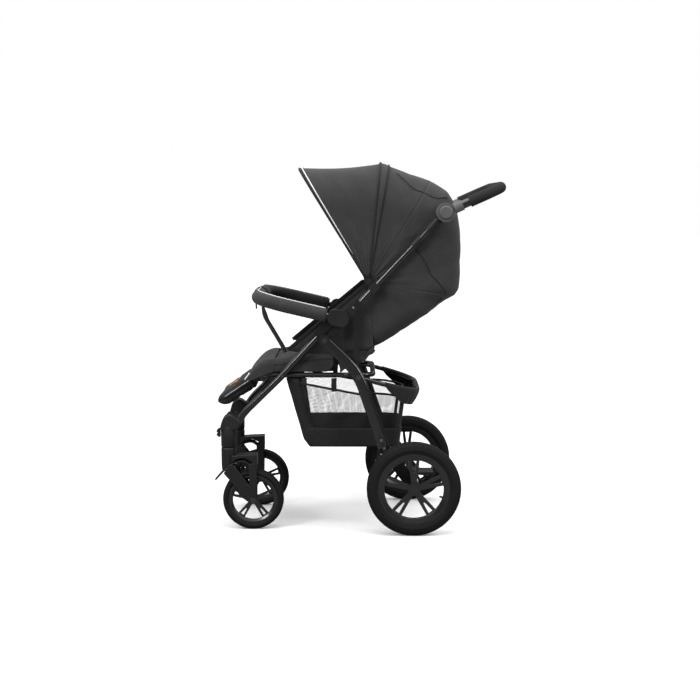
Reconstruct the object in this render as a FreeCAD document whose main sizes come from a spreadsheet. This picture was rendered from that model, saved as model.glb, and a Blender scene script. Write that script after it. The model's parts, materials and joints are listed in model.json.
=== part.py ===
"""Folding baby stroller: frame, fold linkage, canopy, bumper bar, seat, basket and wheels.

Millimetres. +Z is up, the stroller faces -Y and its left side is +X. The origin is the middle of
the footprint, on the ground. Left pieces are drawn and mirrored in the YZ plane for the right.
"""
import FreeCAD, Part
import os
import re
import Sketcher

SIZES = {
    # wheels and where they stand
    "rear_wheel_diameter": 285.0,
    "rear_tyre_width": 46.0,
    "rear_rim_radius": 108.0,
    "rear_window_radius": 88.5,
    "rear_hub_radius": 19.5,
    "rear_axle_y": 166.0,
    "rear_track_half": 275.0,
    "rear_axle_radius": 6.0,
    "front_wheel_diameter": 187.0,
    "front_tyre_width": 38.0,
    "front_rim_radius": 75.0,
    "front_window_radius": 62.0,
    "front_hub_radius": 15.0,
    "front_axle_radius": 5.0,
    "front_axle_y": -324.0,
    "tyre_seat": 0.2,
    "spoke_count": 5.0,
    # caster struts and forks
    "strut_y": -400.0,
    "strut_inset": 30.0,
    "strut_radius": 23.5,
    "strut_bottom": 176.0,
    "strut_seam": 250.0,
    "strut_height": 112.0,
    "strut_cap_radius": 17.0,
    "stem_radius": 6.0,
    "fork_wall": 6.0,
    "fork_side_gap": 3.0,
    "fork_top": 236.0,
    "fender_radius": 127.0,
    "fender_wall": 3.0,
    # frame
    "frame_half_width": 211.0,
    "hinge_y": -62.0,
    "hinge_z": 656.0,
    "leg_radius": 11.0,
    "tube_wall": 1.6,
    "leg_lean": 4.0,
    "leg_foot_y": -382.0,
    "leg_foot_z": 312.0,
    "leg_knee_y": -350.0,
    "leg_knee_z": 361.0,
    "leg_bend": 240.0,
    "leg_top_gap": 45.0,
    "cheek_gap": 11.0,
    "cheek_wall": 4.0,
    "hinge_pin_radius": 5.0,
    "ring_radius": 17.0,
    "running_fit": 0.1,
    "side_gap": 0.5,
    # push frame, measured from the rear pivot along its tube
    "pivot_forward": 41.0,
    "pivot_drop": 69.0,
    "push_angle": 46.6,
    "push_length": 528.8,
    "push_radius": 9.5,
    "canopy_along": 217.0,
    "canopy_rise": 21.0,
    "hanger_along": 146.0,
    "trigger_along": 388.0,
    "trigger_length": 34.0,
    "trigger_travel": 12.0,
    # handle
    "handle_angle": 24.0,
    "handle_reach": 184.8,
    "handle_radius": 13.0,
    "handle_offset": 11.0,
    "handle_bend": 62.0,
    "grip_radius": 17.0,
    "grip_start": 78.0,
    "disc_radius": 29.0,
    "base_radius": 27.0,
    "button_radius": 20.0,
    "button_travel": 3.0,
    # canopy
    "front_bow_angle": 121.2,
    "front_bow_reach": 401.0,
    "mid_bow_angle": 82.1,
    "mid_bow_reach": 356.0,
    "bow_bend": 118.0,
    "bow_wall": 5.0,
    "bow_depth": 12.0,
    "bow_eye": 6.0,
    "bow_pitch": 6.5,
    "canopy_pin_radius": 4.0,
    "fabric": 3.0,
    "canopy_side": 193.5,
    "head_back_y": 315.0,
    # backrest
    "recline_y": -8.0,
    "recline_z": 530.0,
    "recline_angle": 34.6,
    "backrest_length": 318.0,
    "backrest_half_width": 158.0,
    "board_wall": 8.0,
    "backrest_pad": 26.0,
    "recline_pin_radius": 4.0,
    # seat and footrest
    "rail_z": 476.0,
    "rail_radius": 8.0,
    "rail_half_width": 178.0,
    "rail_rear_y": 44.0,
    "rail_bend": 40.0,
    "seat_front_y": -324.0,
    "seat_rear_y": -57.0,
    "seat_top": 550.0,
    "seat_half_width": 174.0,
    "leg_pin_y": -231.0,
    "rear_bolt_y": -1.0,
    "footrest_y": -291.0,
    "footrest_angle": 214.0,
    "footrest_reach": 152.0,
    "footrest_rod": 6.0,
    "footrest_half_width": 150.0,
    "footrest_pad_wall": 28.0,
    # bumper bar
    "bumper_angle": 167.0,
    "bumper_reach": 252.0,
    "bumper_half_width": 249.0,
    "bumper_bend": 105.0,
    "bumper_core_radius": 9.0,
    "bumper_cover_radius": 21.5,
    "adapter_half_length": 32.0,
    "adapter_half_height": 24.0,
    "adapter_width": 34.0,
    # rear frame
    "rear_leg_x": 237.5,
    "rear_leg_wall": 19.0,
    "rear_leg_depth": 34.0,
    "rear_leg_foot_y": 76.0,
    "rear_leg_foot_z": 262.0,
    "axle_tube_radius": 11.0,
    "bracket_wall": 8.0,
    "hoop_y": 10.0,
    "hoop_z": 470.0,
    "hoop_angle": -15.4,
    "hoop_reach": 178.0,
    "hoop_half_width": 219.0,
    "hoop_radius": 7.0,
    "hoop_bend": 110.0,
    "bolt_radius": 5.0,
    "bolt_head": 8.0,
    # basket
    "basket_floor_z": 248.0,
    "basket_front_y": -222.0,
    "basket_rear_y": 145.0,
    "basket_floor_front_y": -161.0,
    "basket_floor_rear_y": 124.0,
    "basket_half_width": 185.0,
    "basket_floor_half_width": 168.0,
    "basket_wall": 2.5,
}

doc = FreeCAD.newDocument("Stroller")
sheet = doc.addObject("Spreadsheet::Sheet", "Sizes")
for row, (size, number) in enumerate(SIZES.items(), start=1):
    sheet.set(f"A{row}", size)
    sheet.set(f"B{row}", str(number))
    sheet.setAlias(f"B{row}", size)
doc.recompute()

PIECES = {}
X_AXIS = FreeCAD.Vector(1, 0, 0)
Y_AXIS = FreeCAD.Vector(0, 1, 0)
Z_AXIS = FreeCAD.Vector(0, 0, 1)
START, END, CENTRE = 1, 2, 3


# ---------------------------------------------------------------- formulas in sheet names

def formula(text):
    """A formula written in sheet names, as a FreeCAD expression."""
    def name_in_sheet(match):
        word = match.group()
        return "Sizes." + word if word in SIZES else word
    return re.sub(r"[a-z_]+", name_in_sheet, str(text))


def value(text):
    """The number that a formula gives now."""
    result = sheet.evalExpression(formula(text))
    return float(getattr(result, "Value", result))


def bind(item, place, text):
    item.setExpression(place, formula(text))


def place(item, point, turn=None, axis=X_AXIS):
    """Put an object at a point and turn it about an axis, all bound to the sheet."""
    angle = value(turn) if turn else 0.0
    position = FreeCAD.Vector(*[value(part) for part in point])
    item.Placement = FreeCAD.Placement(position, FreeCAD.Rotation(axis, angle))
    for letter, part in zip("xyz", point):
        bind(item, f"Placement.Base.{letter}", part)
    if turn:
        bind(item, "Placement.Rotation.Angle", turn)
    return item


# ---------------------------------------------------------------- sketches and features

def new_body(name):
    body = doc.addObject("PartDesign::Body", "Body")
    body.Label = name
    return body


def origin_part(body, role):
    return next(part for part in body.Origin.OriginFeatures if part.Role == role)


def new_sketch(body, role, shift=None):
    sketch = body.newObject("Sketcher::SketchObject", "Sketch")
    sketch.AttachmentSupport = [(origin_part(body, role), "")]
    sketch.MapMode = "FlatFace"
    if shift:
        bind(sketch, "AttachmentOffset.Base.z", shift)
    return sketch


def hold(sketch, kind, item, text, *point):
    """A constraint of a sketch, named and bound to the sheet."""
    parts = (-1, 1, item, *point) if point else (item,)
    number = sketch.addConstraint(Sketcher.Constraint(kind, *parts, value(text)))
    name = "_".join(["hold", kind, str(item), *map(str, point)])
    sketch.renameConstraint(number, name)
    bind(sketch, "Constraints." + name, text)


def hold_point(sketch, item, end, across, up):
    hold(sketch, "DistanceX", item, across, end)
    hold(sketch, "DistanceY", item, up, end)


def draw_lines(sketch, points, closed, rounding):
    """Straight lines through bound points, their corners rounded by bound arcs."""
    spots = [FreeCAD.Vector(value(across), value(up), 0) for across, up in points]
    count = len(points) if closed else len(points) - 1
    first = len(sketch.Geometry)
    for number in range(count):
        sketch.addGeometry(Part.LineSegment(spots[number], spots[(number + 1) % len(spots)]))
    for number in range(count if closed else count - 1):
        following = first + (number + 1) % count
        sketch.addConstraint(Sketcher.Constraint("Coincident", first + number, END, following, START))
    for number in range(count):
        hold_point(sketch, first + number, START, *points[number])
    if not closed:
        hold_point(sketch, first + count - 1, END, *points[-1])
    for number in range(0 if closed else 1, count):
        radius = rounding.get(number) if isinstance(rounding, dict) else rounding
        if radius:
            arc = len(sketch.Geometry)
            sketch.fillet(first + number, START, value(radius), True, True)
            hold(sketch, "Radius", arc, radius)


def draw_circle(sketch, across, up, radius):
    centre = FreeCAD.Vector(value(across), value(up), 0)
    number = sketch.addGeometry(Part.Circle(centre, Z_AXIS, value(radius)))
    hold(sketch, "Radius", number, radius)
    hold_point(sketch, number, CENTRE, across, up)


def add_pad(body, outline, low, high, rounding=None, holes=(), windows=(), role="YZ_Plane"):
    """Pad an outline between two distances from the body's own plane."""
    sketch = new_sketch(body, role, low)
    draw_lines(sketch, outline, True, rounding)
    for hole in holes:
        draw_circle(sketch, *hole)
    for window, radius in windows:
        draw_lines(sketch, window, True, radius)
    pad = body.newObject("PartDesign::Pad", "Pad")
    pad.Profile = sketch
    bind(pad, "Length", f"({high}) - ({low})")
    body.Tip = pad
    return pad


def add_disc(body, across, up, radius, low, high, bore=None, role="YZ_Plane"):
    sketch = new_sketch(body, role, low)
    draw_circle(sketch, across, up, radius)
    if bore:
        draw_circle(sketch, across, up, bore)
    pad = body.newObject("PartDesign::Pad", "Disc")
    pad.Profile = sketch
    bind(pad, "Length", f"({high}) - ({low})")
    body.Tip = pad
    return pad


def add_turned(body, profile, rounding=None):
    """Turn a profile, given as distances along and out from the X axis."""
    sketch = new_sketch(body, "XY_Plane")
    draw_lines(sketch, profile, True, rounding)
    turned = body.newObject("PartDesign::Revolution", "Turned")
    turned.Profile = sketch
    turned.ReferenceAxis = (origin_part(body, "X_Axis"), [""])
    turned.Angle = 360.0
    body.Tip = turned
    return turned


def tube(name, route, bend, radius, wall=None, role="YZ_Plane", shift=None, section=None):
    """A bent tube, or a bent bar where a section is given, along a route in one plane."""
    body = new_body(name)
    path = new_sketch(body, role, shift)
    draw_lines(path, route, False, bend)
    doc.recompute()
    profile = body.newObject("Sketcher::SketchObject", "Section")
    profile.AttachmentSupport = [(path, "Edge1")]
    profile.MapMode = "NormalToEdge"
    if section:
        outline, corner = section
        draw_lines(profile, outline, True, corner)
    else:
        draw_circle(profile, "0", "0", radius)
        if wall:
            draw_circle(profile, "0", "0", f"{radius} - {wall}")
    pipe = body.newObject("PartDesign::AdditivePipe", "Pipe")
    pipe.Profile = profile
    pipe.Spine = (path, [])
    body.Tip = pipe
    return body


def rod(radius, length, start, lean=None):
    """A round rod along +X, or along a direction in the YZ plane measured up from +Y."""
    item = doc.addObject("Part::Cylinder", "Rod")
    bind(item, "Radius", radius)
    bind(item, "Height", length)
    if lean:
        return place(item, start, f"{lean} - 90", X_AXIS)
    return place(item, start, "90", Y_AXIS)


def post(radius, length, start):
    """An upright round post."""
    item = doc.addObject("Part::Cylinder", "Post")
    bind(item, "Radius", radius)
    bind(item, "Height", length)
    return place(item, start)


def block(size, corner, turn=None):
    item = doc.addObject("Part::Box", "Block")
    for side, text in zip(("Length", "Width", "Height"), size):
        bind(item, side, text)
    return place(item, corner, turn)


def fused(*items):
    item = doc.addObject("Part::MultiFuse", "Fused")
    item.Shapes = list(items)
    return item


def cut(base, *tools):
    item = doc.addObject("Part::Cut", "Cut")
    item.Base = base
    item.Tool = tools[0] if len(tools) == 1 else fused(*tools)
    return item


def mirror(item):
    item_mirrored = doc.addObject("Part::Mirroring", "Mirrored")
    item_mirrored.Source = item
    item_mirrored.Normal = X_AXIS
    return item_mirrored


def group(*items):
    item = doc.addObject("Part::Compound", "Group")
    item.Links = list(items)
    return item


def piece(label, item):
    item.Label = label
    PIECES[label] = item


def left_and_right(label, item):
    """A left piece and its mirror image, each a node of its own."""
    piece(label + "_left", item)
    piece(label + "_right", mirror(item))


def as_pair(label, *items):
    """Left pieces and their mirror images together in one node."""
    piece(label, group(*items, *[mirror(item) for item in items]))


# ---------------------------------------------------------------- places used by several pieces

REAR_AXLE_Z = "(rear_wheel_diameter / 2)"
FRONT_AXLE_Z = "(front_wheel_diameter / 2)"
STRUT_X = "(frame_half_width - strut_inset)"
PIVOT_Y = "(hinge_y - pivot_forward)"
PIVOT_Z = "(hinge_z - pivot_drop)"
CHEEK_IN = "(frame_half_width - cheek_gap - cheek_wall)"
CHEEK_OUT = "(frame_half_width + cheek_gap + cheek_wall)"
RAIL_X = "rail_half_width"
REAR_LEG_IN = "(rear_leg_x - rear_leg_wall / 2)"
REAR_LEG_OUT = "(rear_leg_x + rear_leg_wall / 2)"
ADAPTER_IN = f"({CHEEK_OUT} + 3)"


def along_push(distance, rise="0"):
    """A point of the push frame, along its tube from the rear pivot and square to it."""
    across = f"({PIVOT_Y} + ({distance}) * cos(push_angle) - ({rise}) * sin(push_angle))"
    up = f"({PIVOT_Z} + ({distance}) * sin(push_angle) + ({rise}) * cos(push_angle))"
    return across, up


HANDLE_Y, HANDLE_Z = along_push("push_length")
CANOPY_Y, CANOPY_Z = along_push("canopy_along", "canopy_rise")


# ---------------------------------------------------------------- wheels

def spoke_outline(hub, window):
    """One twin spoke: narrow at the hub, wide at the rim, as half of its width by radius."""
    return [(f"-{hub} * 0.42", f"{hub} * 0.8"), (f"{hub} * 0.42", f"{hub} * 0.8"),
            (f"{window} * 0.19", f"{window} + 3"), (f"-{window} * 0.19", f"{window} + 3")]


def spoke_slot(hub, window):
    """The slot that parts the outer half of a spoke in two."""
    inner = f"({hub} + ({window} - {hub}) * 0.45)"
    return [(f"-{window} * 0.025", inner), (f"{window} * 0.025", inner),
            (f"{window} * 0.085", f"{window} - 2"), (f"-{window} * 0.085", f"{window} - 2")]


def wheel(name, diameter, width, rim, window, hub, axle, centre, cap_bore=None):
    half = f"({width} / 2)"
    outer = f"({diameter} / 2)"
    wall = f"({outer} - {rim})"
    tyre = new_body(name + "_tyre_body")
    add_turned(tyre, [(f"-{half} + 4", f"{rim} + tyre_seat"), (f"{half} - 4", f"{rim} + tyre_seat"),
                      (half, f"{rim} + {wall} * 0.35"), (f"{half} - 3", f"{outer} - {wall} * 0.25"),
                      (f"{half} * 0.4", outer), (f"-{half} * 0.4", outer),
                      (f"-{half} + 3", f"{outer} - {wall} * 0.25"), (f"-{half}", f"{rim} + {wall} * 0.35")],
               {2: f"{wall} * 0.14", 3: f"{wall} * 0.17", 4: f"{wall} * 0.26", 5: f"{wall} * 0.26",
                6: f"{wall} * 0.17", 7: f"{wall} * 0.14"})
    spokes = new_body(name + "_rim_body")
    lip = f"({half} - 5)"
    add_turned(spokes, [(f"-{lip}", f"{rim} - 5"), (f"-{lip}", rim), (lip, rim), (lip, f"{rim} - 5"),
                        (f"{lip} - 4", window), (f"-{lip} + 6", f"{window} + 3")], {3: "2", 4: "2"})
    spoke = add_pad(spokes, spoke_outline(hub, window), f"{lip} - 16", f"{lip} - 5",
                    None, (), [(spoke_slot(hub, window), "1.5")])
    pattern = spokes.newObject("PartDesign::PolarPattern", "Spokes")
    pattern.Originals = [spoke]
    pattern.Axis = (origin_part(spokes, "X_Axis"), [""])
    pattern.Angle = 360.0
    bind(pattern, "Occurrences", "spoke_count")
    spokes.Tip = pattern
    add_disc(spokes, "0", "0", hub, f"-{half} + 3", f"{lip} - 2", f"{axle} + running_fit")
    add_disc(spokes, "0", "0", f"{hub} * 0.72", f"{lip} - 2.5", f"{lip} + 1", cap_bore)
    for body in (tyre, spokes):
        place(body, centre)
    left_and_right(name + "_tyre", tyre)
    left_and_right(name + "_rim", spokes)


wheel("rear_wheel", "rear_wheel_diameter", "rear_tyre_width", "rear_rim_radius", "rear_window_radius",
      "rear_hub_radius", "rear_axle_radius", ("rear_track_half", "rear_axle_y", REAR_AXLE_Z))
wheel("front_wheel", "front_wheel_diameter", "front_tyre_width", "front_rim_radius",
      "front_window_radius", "front_hub_radius", "front_axle_radius",
      (STRUT_X, "front_axle_y", FRONT_AXLE_Z), "front_axle_radius + running_fit")


# ---------------------------------------------------------------- front forks and caster struts

def fork():
    """Lower strut, stem, bridge, two side blades with a window, and the fender, in one casting."""
    side_out = "(front_tyre_width / 2 + fork_side_gap + fork_wall)"
    side_in = f"(front_tyre_width / 2 + fork_side_gap)"
    trail = "(front_axle_y - strut_y)"
    body = new_body("fork_casting")
    add_disc(body, "0", "0", "strut_radius - 0.5", "strut_bottom", "strut_seam", None, "XY_Plane")
    add_disc(body, "0", "0", "stem_radius", "strut_seam - 1", "strut_seam + 50", None, "XY_Plane")
    add_pad(body, [("0", "fork_top - 14"), (f"{trail} + 12", "fork_top - 14"),
                   (f"{trail} + 12", "fork_top"), ("0", "fork_top")],
            f"-{side_out}", side_out)
    blade = [("-8", "strut_bottom + 6"), ("14", "strut_bottom + 22"), ("14", "fork_top"),
             (f"{trail} + 12", "fork_top"), (f"{trail} + 12", f"{FRONT_AXLE_Z} + 10"),
             (f"{trail} + 14", f"{FRONT_AXLE_Z} - 12"), (f"{trail} - 12", f"{FRONT_AXLE_Z} - 14")]
    window = [("26", "strut_bottom + 22"), (f"{trail} - 10", f"{FRONT_AXLE_Z} + 40"),
              (f"{trail} - 8", "fork_top - 14"), ("26", "fork_top - 14")]
    hole = (trail, FRONT_AXLE_Z, "front_axle_radius + running_fit")
    for low, high in ((side_in, side_out), (f"-{side_out}", f"-{side_in}")):
        add_pad(body, blade, low, high, {3: "10", 5: "11", 6: "11"}, [hole], [(window, "6")])
    place(body, (STRUT_X, "strut_y", "0"))
    return fused(body, fender())


def sector(radius, length, start, first_angle, sweep):
    """A slice of a round rod along +X, from an angle measured up from +Y."""
    item = doc.addObject("Part::Cylinder", "Sector")
    bind(item, "Radius", radius)
    bind(item, "Height", length)
    bind(item, "Angle", sweep)
    place(item, start)
    turned = FreeCAD.Rotation(Z_AXIS, value(first_angle) + 90)
    item.Placement.Rotation = FreeCAD.Rotation(Y_AXIS, 90).multiply(turned)
    return item


def fender():
    """A thin arc over the front wheel, from its pointed tip to the rear end of the bridge."""
    width = "(front_tyre_width + 6)"
    corner = (f"{STRUT_X} - {width} / 2", "front_axle_y", FRONT_AXLE_Z)
    inner_corner = (f"{STRUT_X} - {width} / 2 - 1", "front_axle_y", FRONT_AXLE_Z)
    return cut(sector("fender_radius", width, corner, "98", "58"),
               rod("fender_radius - fender_wall", f"{width} + 2", inner_corner))


def front_axle():
    """The pin that carries a front wheel, with a flat head outside each blade."""
    reach = "(front_tyre_width / 2 + fork_side_gap + fork_wall)"
    ends = [rod("9", "3", (f"{STRUT_X} + {reach} + 0.3", "front_axle_y", FRONT_AXLE_Z)),
            rod("9", "3", (f"{STRUT_X} - {reach} - 3.3", "front_axle_y", FRONT_AXLE_Z)),
            rod("front_axle_radius", f"2 * {reach} + 2",
                (f"{STRUT_X} - {reach} - 1", "front_axle_y", FRONT_AXLE_Z))]
    return fused(*ends)


def strut_housing():
    """Fixed upper half of the caster: a domed sleeve with the socket that takes the front leg."""
    low = "(strut_seam + 1)"
    top = "(strut_seam + strut_height)"
    sleeve = post("strut_radius", f"strut_height * 0.6", (STRUT_X, "strut_y", low))
    dome = doc.addObject("Part::Cone", "Dome")
    bind(dome, "Radius1", "strut_radius")
    bind(dome, "Radius2", "strut_cap_radius")
    bind(dome, "Height", f"strut_height * 0.4 - 1")
    place(dome, (STRUT_X, "strut_y", f"{low} + strut_height * 0.6"))
    socket = tube("leg_socket", leg_route("leg_knee_y - hinge_y - 12", "leg_knee_z - hinge_z - 18"),
                  "60", "leg_radius + 4")
    lean_with_leg(socket)
    bore = tube("leg_bore", leg_route("leg_knee_y - hinge_y", "leg_knee_z - hinge_z"),
                "60", "leg_radius + running_fit")
    lean_with_leg(bore)
    stem_bore = post("stem_radius + running_fit", "56", (STRUT_X, "strut_y", "strut_seam"))
    return cut(fused(sleeve, dome, socket), bore, stem_bore)


def swivel_lock():
    """A knob on the front of the strut that drops a stop into the fork."""
    knob = block(("16", "7", "26"), (f"{STRUT_X} - 8", "strut_y - strut_radius - 7.6", "strut_seam + 36"))
    bumps = [rod("4.5", "14", (f"{STRUT_X} - 7", "strut_y - strut_radius - 8", f"strut_seam + {rise}"))
             for rise in (43, 54)]
    return fused(knob, *bumps)


# ---------------------------------------------------------------- front legs

def leg_route(last_y, last_z):
    """The lower end of the leg's route, in the leaning plane through the hinge."""
    return [("leg_foot_y - hinge_y", "leg_foot_z - hinge_z"), (last_y, last_z)]


def lean_with_leg(body):
    return place(body, ("frame_half_width", "hinge_y", "hinge_z"), "leg_lean", Y_AXIS)


def leg_top_run():
    """The last straight run of the front leg, up to its end below the hinge."""
    return ("-178", "-186.4"), ("(-leg_top_gap * 0.70 - 6)", "(-leg_top_gap * 0.78 + 2)")


def front_leg():
    route = [("leg_foot_y - hinge_y", "leg_foot_z - hinge_z"),
             ("leg_knee_y - hinge_y", "leg_knee_z - hinge_z"), *leg_top_run()]
    leg = lean_with_leg(tube("leg_tube", route, {1: "190", 2: "leg_bend"}, "leg_radius", "tube_wall"))
    return cut(leg, rod("4 + running_fit", "80", ("frame_half_width - 50", "leg_pin_y", "rail_z")))


def hinge_cheek():
    """Two cheek plates with the saddle between them that holds the top of the front leg."""
    direction = ("-0.685", "-0.728")
    def down_leg(distance, offset):
        """A point below the hinge along the leg, and square to it."""
        across = f"(hinge_y + {distance} * {direction[0]} - ({offset}) * {direction[1]})"
        up = f"(hinge_z + {distance} * {direction[1]} + ({offset}) * {direction[0]} + 6)"
        return across, up
    outline = [("hinge_y + 8", "hinge_z - ring_radius + 1"), ("hinge_y + ring_radius", "hinge_z + 6"),
               ("hinge_y", "hinge_z + ring_radius"), down_leg("34", "-19"), down_leg("92", "-18"),
               down_leg("92", "8"), down_leg("34", "10")]
    body = new_body("hinge_cheek")
    hole = ("hinge_y", "hinge_z", "hinge_pin_radius + running_fit")
    add_pad(body, outline, CHEEK_IN, f"{CHEEK_IN} + cheek_wall", "5", [hole])
    saddle = [down_leg("62", "-18"), down_leg("92", "-18"), down_leg("92", "8"), down_leg("62", "8")]
    add_pad(body, saddle, f"{CHEEK_IN} + 1", f"{CHEEK_OUT} - 1")
    add_pad(body, outline, f"{CHEEK_OUT} - cheek_wall", CHEEK_OUT, "5", [hole])
    return cut(body, lean_with_leg(leg_bore()))


def leg_bore():
    elbow, top = leg_top_run()
    beyond = tuple(f"{far} + 0.25 * ({far} - ({near}))" for near, far in zip(elbow, top))
    return tube("cheek_bore", [elbow, beyond], None, "leg_radius + running_fit")


def front_crossbar():
    reach = f"({STRUT_X} - strut_radius + 4)"
    bar = rod("9", f"2 * {reach}", (f"-{reach}", "strut_y", "strut_seam + 34"))
    bores = [post("strut_radius + running_fit", "strut_height", (f"{sign}{STRUT_X}", "strut_y", "strut_seam"))
             for sign in ("", "-")]
    return cut(bar, *bores)


def frame_pins():
    """Main hinge pins and the pins on the front legs that the seat rails turn on."""
    hinge = rod("hinge_pin_radius", "64", (f"{CHEEK_IN} - 2", "hinge_y", "hinge_z"))
    leg_pin = rod("4", "34", (f"{RAIL_X} + rail_radius + 0.3", "leg_pin_y", "rail_z"))
    return hinge, leg_pin


# ---------------------------------------------------------------- push frame

def push_tube():
    outer = rod("push_radius", "push_length - 78", ("frame_half_width", *along_push("44")), "push_angle")
    inner = rod("push_radius - tube_wall", "push_length - 60", ("frame_half_width", *along_push("36")),
                "push_angle")
    return cut(outer, inner)


def hinge_cover():
    """The ribbed casting between the cheeks, from the rear pivot past the hinge up the tube."""
    low = "(frame_half_width - cheek_gap + side_gap)"
    high = "(frame_half_width + cheek_gap - side_gap)"
    outline = [along_push("-13", "-11"), along_push("128", "-12"), along_push("128", "12"),
               along_push("104", "20"), along_push("86", "33"), along_push("66", "32"),
               along_push("60", "24"), along_push("38", "9"), along_push("-12", "8.5")]
    body = new_body("hinge_cover")
    holes = [("hinge_y", "hinge_z", "hinge_pin_radius + running_fit"),
             (PIVOT_Y, PIVOT_Z, "bolt_radius + running_fit")]
    add_pad(body, outline, low, high, {0: "8", 4: "13", 5: "13", 8: "8"}, holes)
    bore = rod("push_radius + running_fit", "push_length", ("frame_half_width", *along_push("43.7")),
               "push_angle")
    pin_clear = rod("hinge_pin_radius + running_fit", "80", ("frame_half_width - 40", "hinge_y", "hinge_z"))
    return cut(body, bore, pin_clear)


def tilt_base():
    """Disc that the handle turns on, its neck, and the sleeve that takes the top of the push tube."""
    low = "(frame_half_width - 11)"
    disc = rod("base_radius", "13", (low, HANDLE_Y, HANDLE_Z))
    neck = block(("13", "45", "24"), (low, *along_push("push_length - 45", "-12")), "push_angle")
    sleeve = rod("push_radius + 4", "45", ("frame_half_width", *along_push("push_length - 76")), "push_angle")
    bore = rod("push_radius + running_fit", "46", ("frame_half_width", *along_push("push_length - 77")),
               "push_angle")
    spindle = rod("6", "12", (f"{low} + 12", HANDLE_Y, HANDLE_Z))
    return fused(cut(fused(disc, neck, sleeve), bore), spindle)


def fold_trigger():
    """Collar that slides up the push tube, with a finger hook on its front side."""
    collar = rod("push_radius + 4", "trigger_length", ("frame_half_width", *along_push("trigger_along")),
                 "push_angle")
    hook = block(("12", "22", "14"), ("frame_half_width - 6", *along_push("trigger_along + 6", "8")),
                 "push_angle")
    bore = rod("push_radius + 0.3", "trigger_length + 40",
               ("frame_half_width", *along_push("trigger_along - 20")), "push_angle")
    return cut(fused(collar, hook), bore)


def canopy_clip():
    """Clamp on the push tube with the pin that the hub and both bows turn on."""
    clamp = block(("push_radius * 2 + 5", "28", "push_radius * 2 + 8"),
                  ("frame_half_width - push_radius - 2.5", *along_push("canopy_along - 14", "-push_radius - 4")),
                  "push_angle")
    boss = rod("9", "10", ("frame_half_width - push_radius - 2.5", CANOPY_Y, CANOPY_Z))
    bore = rod("push_radius + running_fit", "60", ("frame_half_width", *along_push("canopy_along - 30")),
               "push_angle")
    pin = rod("canopy_pin_radius", "bow_pitch * 3 + 6",
              ("frame_half_width - push_radius - 1.5 - bow_pitch * 3 - 5", CANOPY_Y, CANOPY_Z))
    return fused(cut(fused(clamp, boss), bore), pin)


def backrest_hanger():
    """Clamp on the push tube with an arm down to the pin that the backrest reclines on."""
    low = "(frame_half_width - push_radius - 5.5)"
    clamp = block(("push_radius * 2 + 8", "24", "push_radius * 2 + 6"),
                  (low, *along_push("hanger_along - 12", "-push_radius - 3")), "push_angle")
    bore = rod("push_radius + running_fit", "60", ("frame_half_width", *along_push("hanger_along - 30")),
               "push_angle")
    arm = new_body("hanger_arm")
    top_y, top_z = along_push("hanger_along")
    add_pad(arm, [(f"{top_y} - 9", f"{top_z} - 4"), ("recline_y - 9", "recline_z - 8"),
                  ("recline_y + 9", "recline_z - 8"), (f"{top_y} + 9", f"{top_z} - 4")],
            low, f"{low} + 3", {1: "8", 2: "8"})
    pin = rod("recline_pin_radius", f"{low} + 1 - backrest_half_width + 16",
              ("backrest_half_width - 16", "recline_y", "recline_z"))
    return fused(cut(fused(clamp, arm), bore), pin)


# ---------------------------------------------------------------- handle

DISC_IN = "(frame_half_width + 2.5)"
HANDLE_X = "(frame_half_width + handle_offset)"


def handle_route(start):
    return [(HANDLE_X, start), (HANDLE_X, "handle_reach"), (f"-{HANDLE_X}", "handle_reach"),
            (f"-{HANDLE_X}", start)]


def at_handle(body):
    return place(body, ("0", HANDLE_Y, HANDLE_Z), "handle_angle")


def handle_disc():
    """Turning half of the tilt joint, with the socket of the handle tube and the button's recess."""
    disc = rod("disc_radius", "18.5", (DISC_IN, HANDLE_Y, HANDLE_Z))
    socket = at_handle(tube("handle_socket", [(HANDLE_X, "base_radius + 1"), (HANDLE_X, "disc_radius + 26")],
                            None, "handle_radius + 3", None, "XY_Plane"))
    bore = at_handle(tube("handle_bore", [(HANDLE_X, "disc_radius - 1"), (HANDLE_X, "disc_radius + 60")],
                          None, "handle_radius + running_fit", None, "XY_Plane"))
    spindle_bore = rod("6 + running_fit", "13", (f"{DISC_IN} - 1", HANDLE_Y, HANDLE_Z))
    recess = rod("button_radius + 0.4", "10", (f"{DISC_IN} + 14.5", HANDLE_Y, HANDLE_Z))
    return cut(fused(disc, socket), bore, spindle_bore, recess)


def handle_button():
    """Domed cap that is pressed inward to free the handle's tilt."""
    cap = rod("button_radius", "7", (f"{DISC_IN} + 14.8 + button_travel", HANDLE_Y, HANDLE_Z))
    dome = doc.addObject("Part::Cone", "Dome")
    bind(dome, "Radius1", "button_radius")
    bind(dome, "Radius2", "button_radius - 4")
    bind(dome, "Height", "2.5")
    place(dome, (f"{DISC_IN} + 21.8 + button_travel", HANDLE_Y, HANDLE_Z), "90", Y_AXIS)
    return fused(cap, dome)


# ---------------------------------------------------------------- canopy

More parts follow.
